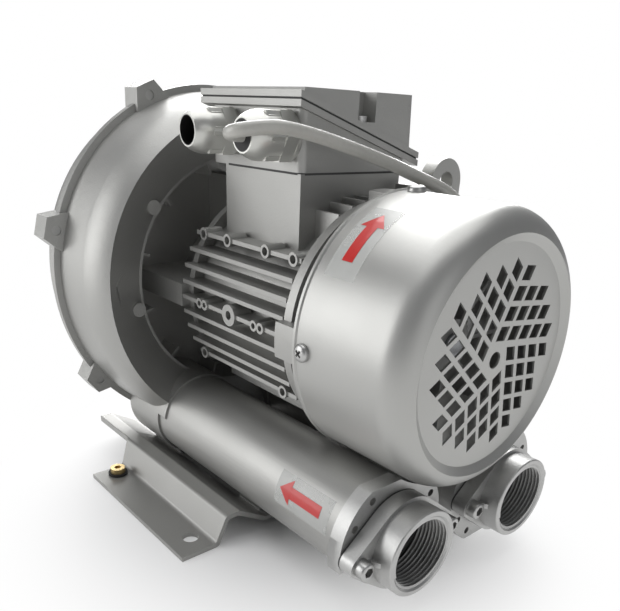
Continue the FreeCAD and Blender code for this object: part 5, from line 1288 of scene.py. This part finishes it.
@dataclass
class MainsCord:
    """Mains cord from the second gland to its coil and plug."""

    workshop: Workshop
    diameter: float = 6.6
    length: float = 1900.0
    gap: float = 0.1
    floor_gap: float = 0.3
    coil_centre: Pair = (-75.0, 180.0)
    coil_radius: float = 35.0
    turn_points: int = 16
    crossover: float = 0.2
    turns: Tuple[Tuple[int, int], ...] = ((1, 0), (-1, 0), (-1, 1), (1, 1), (-1, 2), (1, 2))

    def route(self) -> List[Sequence[float]]:
        """List the control points of the whole cord.

        Returns:
            The points in millimetres.
        """
        exit_x, exit_z = gland_axes()[1]
        exit_y = self.workshop.at.gland_mouth
        lie = self.on_coil(0.0, 0, 0)[2]
        start = [
            (exit_x, exit_y, exit_z),
            (exit_x, exit_y - 3.4, exit_z),
            (exit_x + 3.9, exit_y - 11.4, exit_z + 0.8),
            (exit_x + 13.1, exit_y - 11.4, exit_z + 2.7),
            (exit_x + 18.0, exit_y - 2.6, exit_z + 4.1),
            (46.0, -61.5, 234.4),
            (50.0, -43.0, 231.0),
            (56.0, -22.0, 225.1),
            (61.0, -2.0, 219.1),
            (64.5, 15.0, 213.0),
            (66.5, 28.0, 208.7),
            (67.5, 39.0, 205.0),
            (68.5, 49.0, 199.5),
            (70.0, 58.0, 191.5),
            (72.0, 66.0, 181.0),
            (73.5, 75.0, 165.0),
            (72.0, 84.0, 142.0),
            (69.0, 91.5, 112.0),
            (64.0, 98.0, 78.0),
            (57.0, 106.0, 40.0),
            (42.0, 124.0, 9.5),
            (16.0, 138.0, lie),
            (-14.0, 142.5, lie),
            (-44.0, self.coil_centre[1] - self.coil_radius - 1.5, lie),
        ]
        return start + self.coil() + self.tail()

    def on_coil(self, turn: float, lane: float, layer: float) -> Point:
        """Find a place in the coil.

        Args:
            turn: The angle round the coil in radians.
            lane: -1 for the inner turns, 1 for the outer ones.
            layer: How many turns lie below.

        Returns:
            The place in millimetres.
        """
        x, y = polar(self.coil_radius + lane * (self.diameter / 2 + self.gap), turn)
        return (self.coil_centre[0] + x, self.coil_centre[1] + y,
                self.diameter / 2 + self.floor_gap + layer * (self.diameter + self.gap))

    def coil(self) -> List[Point]:
        """List the control points of the coil's turns, two side by side in three layers.

        Returns:
            The points in millimetres.
        """
        points = []
        for (lane, layer), following in zip(self.turns, self.turns[1:] + self.turns[-1:]):
            for n in range(self.turn_points):
                part = n / self.turn_points
                blend = max(0.0, (part - (1 - self.crossover)) / self.crossover)
                points.append(self.on_coil(-math.pi / 2 - 2 * math.pi * part,
                                           lane + (following[0] - lane) * blend,
                                           layer + (following[1] - layer) * blend))
        return points

    def tail(self) -> List[Point]:
        """List the control points of the last quarter turn, which leaves the coil, and the tail.

        Returns:
            The points in millimetres.
        """
        lane, layer = self.turns[-1]
        points = []
        for degrees, out, drop in ((-90.0, 0.0, 0.0), (-112.5, 0.0, 0.0), (-135.0, 0.5, 0.0),
                                   (-155.0, 3.5, 1.0), (-170.0, 6.0, 3.0)):
            turn = math.radians(degrees)
            x, y, z = self.on_coil(turn, lane, layer)
            along, across = polar(out, turn)
            points.append((x + along, y + across, z - drop))
        x, y = self.coil_centre
        return points + [
            (x - 45.4, y - 0.6, 12.5),
            (x - 46.9, y + 6.9, 11.4),
            (x - 52.4, y + 11.6, 10.4),
            (x - 58.0, y + 13.1, 9.7),
            (x - 62.2, y + 12.1, 9.4),
            (x - 66.0, y + 8.3, 9.3),
        ]

    def build(self) -> None:
        """Make the cord as one NURBS curve."""
        points = self.route()
        curve = bpy.data.curves.new("mains_cord", "CURVE")
        curve.dimensions = "3D"
        curve.bevel_depth = self.diameter / 2 * MM
        curve.bevel_resolution = 5
        curve.use_fill_caps = True
        spline = curve.splines.new("NURBS")
        spline.points.add(len(points) - 1)
        for item, point in zip(spline.points, points):
            item.co = (*(Vector(point) * MM), 1.0)
        spline.order_u = 3
        spline.use_endpoint_u = True
        spline.resolution_u = 8
        curve.materials.append(self.workshop.finish("cord_grey"))
        cord = stood("mains_cord", curve)
        self.workshop.hand_over(cord, "cord_jacket", ("cord_run", "cord_coil", "cord_tail"))


@dataclass(frozen=True)
class Lamp:
    """One square soft lamp."""

    name: str
    at: Point
    size: float
    watts: float

    def build(self, towards: Point) -> None:
        """Add the lamp, facing a place.

        Args:
            towards: The place in metres.
        """
        data = bpy.data.lights.new(self.name, "AREA")
        data.size = self.size
        data.energy = self.watts
        way = Vector(self.at) - Vector(towards)
        stood(self.name, data).matrix_world = (
            Matrix.Translation(self.at) @ way.to_track_quat("Z", "Y").to_matrix().to_4x4())


@dataclass
class Stage:
    """Pale floor, lamps and world."""

    floor_size: float = 6.0
    floor_colour: Colour = (0.86, 0.86, 0.86)
    white: Colour = (1.0, 1.0, 1.0)
    fade: Pair = (0.06, 0.22)
    sky_colour: Colour = (0.93, 0.95, 1.0)
    sky_strength: float = 0.17
    middle: Point = (0.0, 0.0, 0.12)
    lamps: Tuple[Lamp, ...] = (
        Lamp("key_lamp", (-0.8, -1.2, 0.5), size=1.0, watts=10.0),
        Lamp("top_lamp", (-0.1, 0.05, 0.9), size=0.9, watts=5.0),
        Lamp("back_lamp", (-0.9, 0.8, 0.8), size=1.2, watts=30.0),
        Lamp("side_lamp", (1.3, -0.2, 0.5), size=0.8, watts=1.5),
    )

    def floor(self) -> None:
        """Make the floor, which fades into the white surroundings."""
        mesh = bpy.data.meshes.new("floor")
        half = self.floor_size / 2
        mesh.from_pydata([(-half, -half, 0), (half, -half, 0), (half, half, 0), (-half, half, 0)],
                         [], [(0, 1, 2, 3)])
        recipe = Recipe("floor_white")
        recipe.shade(Base_Color=self.floor_colour, Roughness=0.85, Specular_IOR_Level=0.1)
        x, y, _ = recipe.axes()
        away = ((x * x + y * y) ** 0.5).ramp(*self.fade)
        glow = recipe.node("ShaderNodeEmission", inputs={"Color": self.white, "Strength": 1.0})
        blend = recipe.node("ShaderNodeMixShader", inputs={
            0: away, 1: recipe.shader.outputs[0], 2: glow.outputs[0]})
        recipe.feed(recipe.output.inputs["Surface"], blend.outputs[0])
        mesh.materials.append(recipe.material)
        stood("floor", mesh)

    def world(self) -> None:
        """Soft even surroundings, white where the camera sees them."""
        world = bpy.data.worlds.new("studio")
        bpy.context.scene.world = world
        world.use_nodes = True
        graph = Graph(world.node_tree)
        rays = graph.node("ShaderNodeLightPath")
        sky = graph.node("ShaderNodeBackground", inputs={
            "Color": self.sky_colour, "Strength": self.sky_strength})
        white = graph.node("ShaderNodeBackground", inputs={"Color": self.white, "Strength": 1.0})
        blend = graph.node("ShaderNodeMixShader", inputs={
            0: rays.outputs["Is Camera Ray"], 1: sky.outputs[0], 2: white.outputs[0]})
        graph.node("ShaderNodeOutputWorld", inputs={"Surface": blend.outputs[0]})

    def build(self) -> None:
        """Set up the whole studio."""
        self.floor()
        self.world()
        for lamp in self.lamps:
            lamp.build(self.middle)
        bpy.context.scene.view_settings.view_transform = "Standard"


@dataclass
class Viewpoint:
    """Camera at the photograph's place, with its framing shift."""

    at: Point = (0.3095, -0.2709, 0.2408)
    right: Point = (0.65386042, 0.75537736, 0.04326178)
    down: Point = (0.36060601, -0.26085658, -0.89549827)
    forward: Point = (-0.665154, 0.60113134, -0.44295741)
    focal_pixels: float = 646.96
    centre: Pair = (312.71, 432.62)
    image: Tuple[int, int] = (620, 611)
    sensor: float = 36.0

    def build(self) -> None:
        """Make the camera and hand it to the scene."""
        wide, high = self.image
        data = bpy.data.cameras.new("photo_camera")
        data.sensor_width = self.sensor
        data.sensor_fit = "HORIZONTAL"
        data.lens = self.sensor * self.focal_pixels / wide
        data.shift_x = (wide / 2 - self.centre[0]) / wide
        data.shift_y = (self.centre[1] - high / 2) / wide
        data.clip_start = 0.01
        camera = stood("photo_camera", data)
        axes = Matrix((self.right, -Vector(self.down), -Vector(self.forward))).transposed()
        camera.matrix_world = Matrix.Translation(self.at) @ axes.to_4x4()
        bpy.context.scene.camera = camera


def main() -> None:
    """Build every sub-assembly in order."""
    logging.basicConfig(level=logging.INFO, format="%(name)s: %(message)s")
    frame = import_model()
    workshop = Workshop(Stations.read())
    workshop.dress_nodes(frame["nodes"])
    NearPlate(workshop).build(frame["nodes"]["near_end_plate"])
    for side in Side:
        PortThreads(workshop).build(side)
    for assembly in (Fasteners, GlandRibs, CastArrow, BoxSeam, CowlArrow, TubeArrow, MainsCord):
        assembly(workshop).build()
    Stage().build()
    Viewpoint().build()


if __name__ == "__main__":
    main()
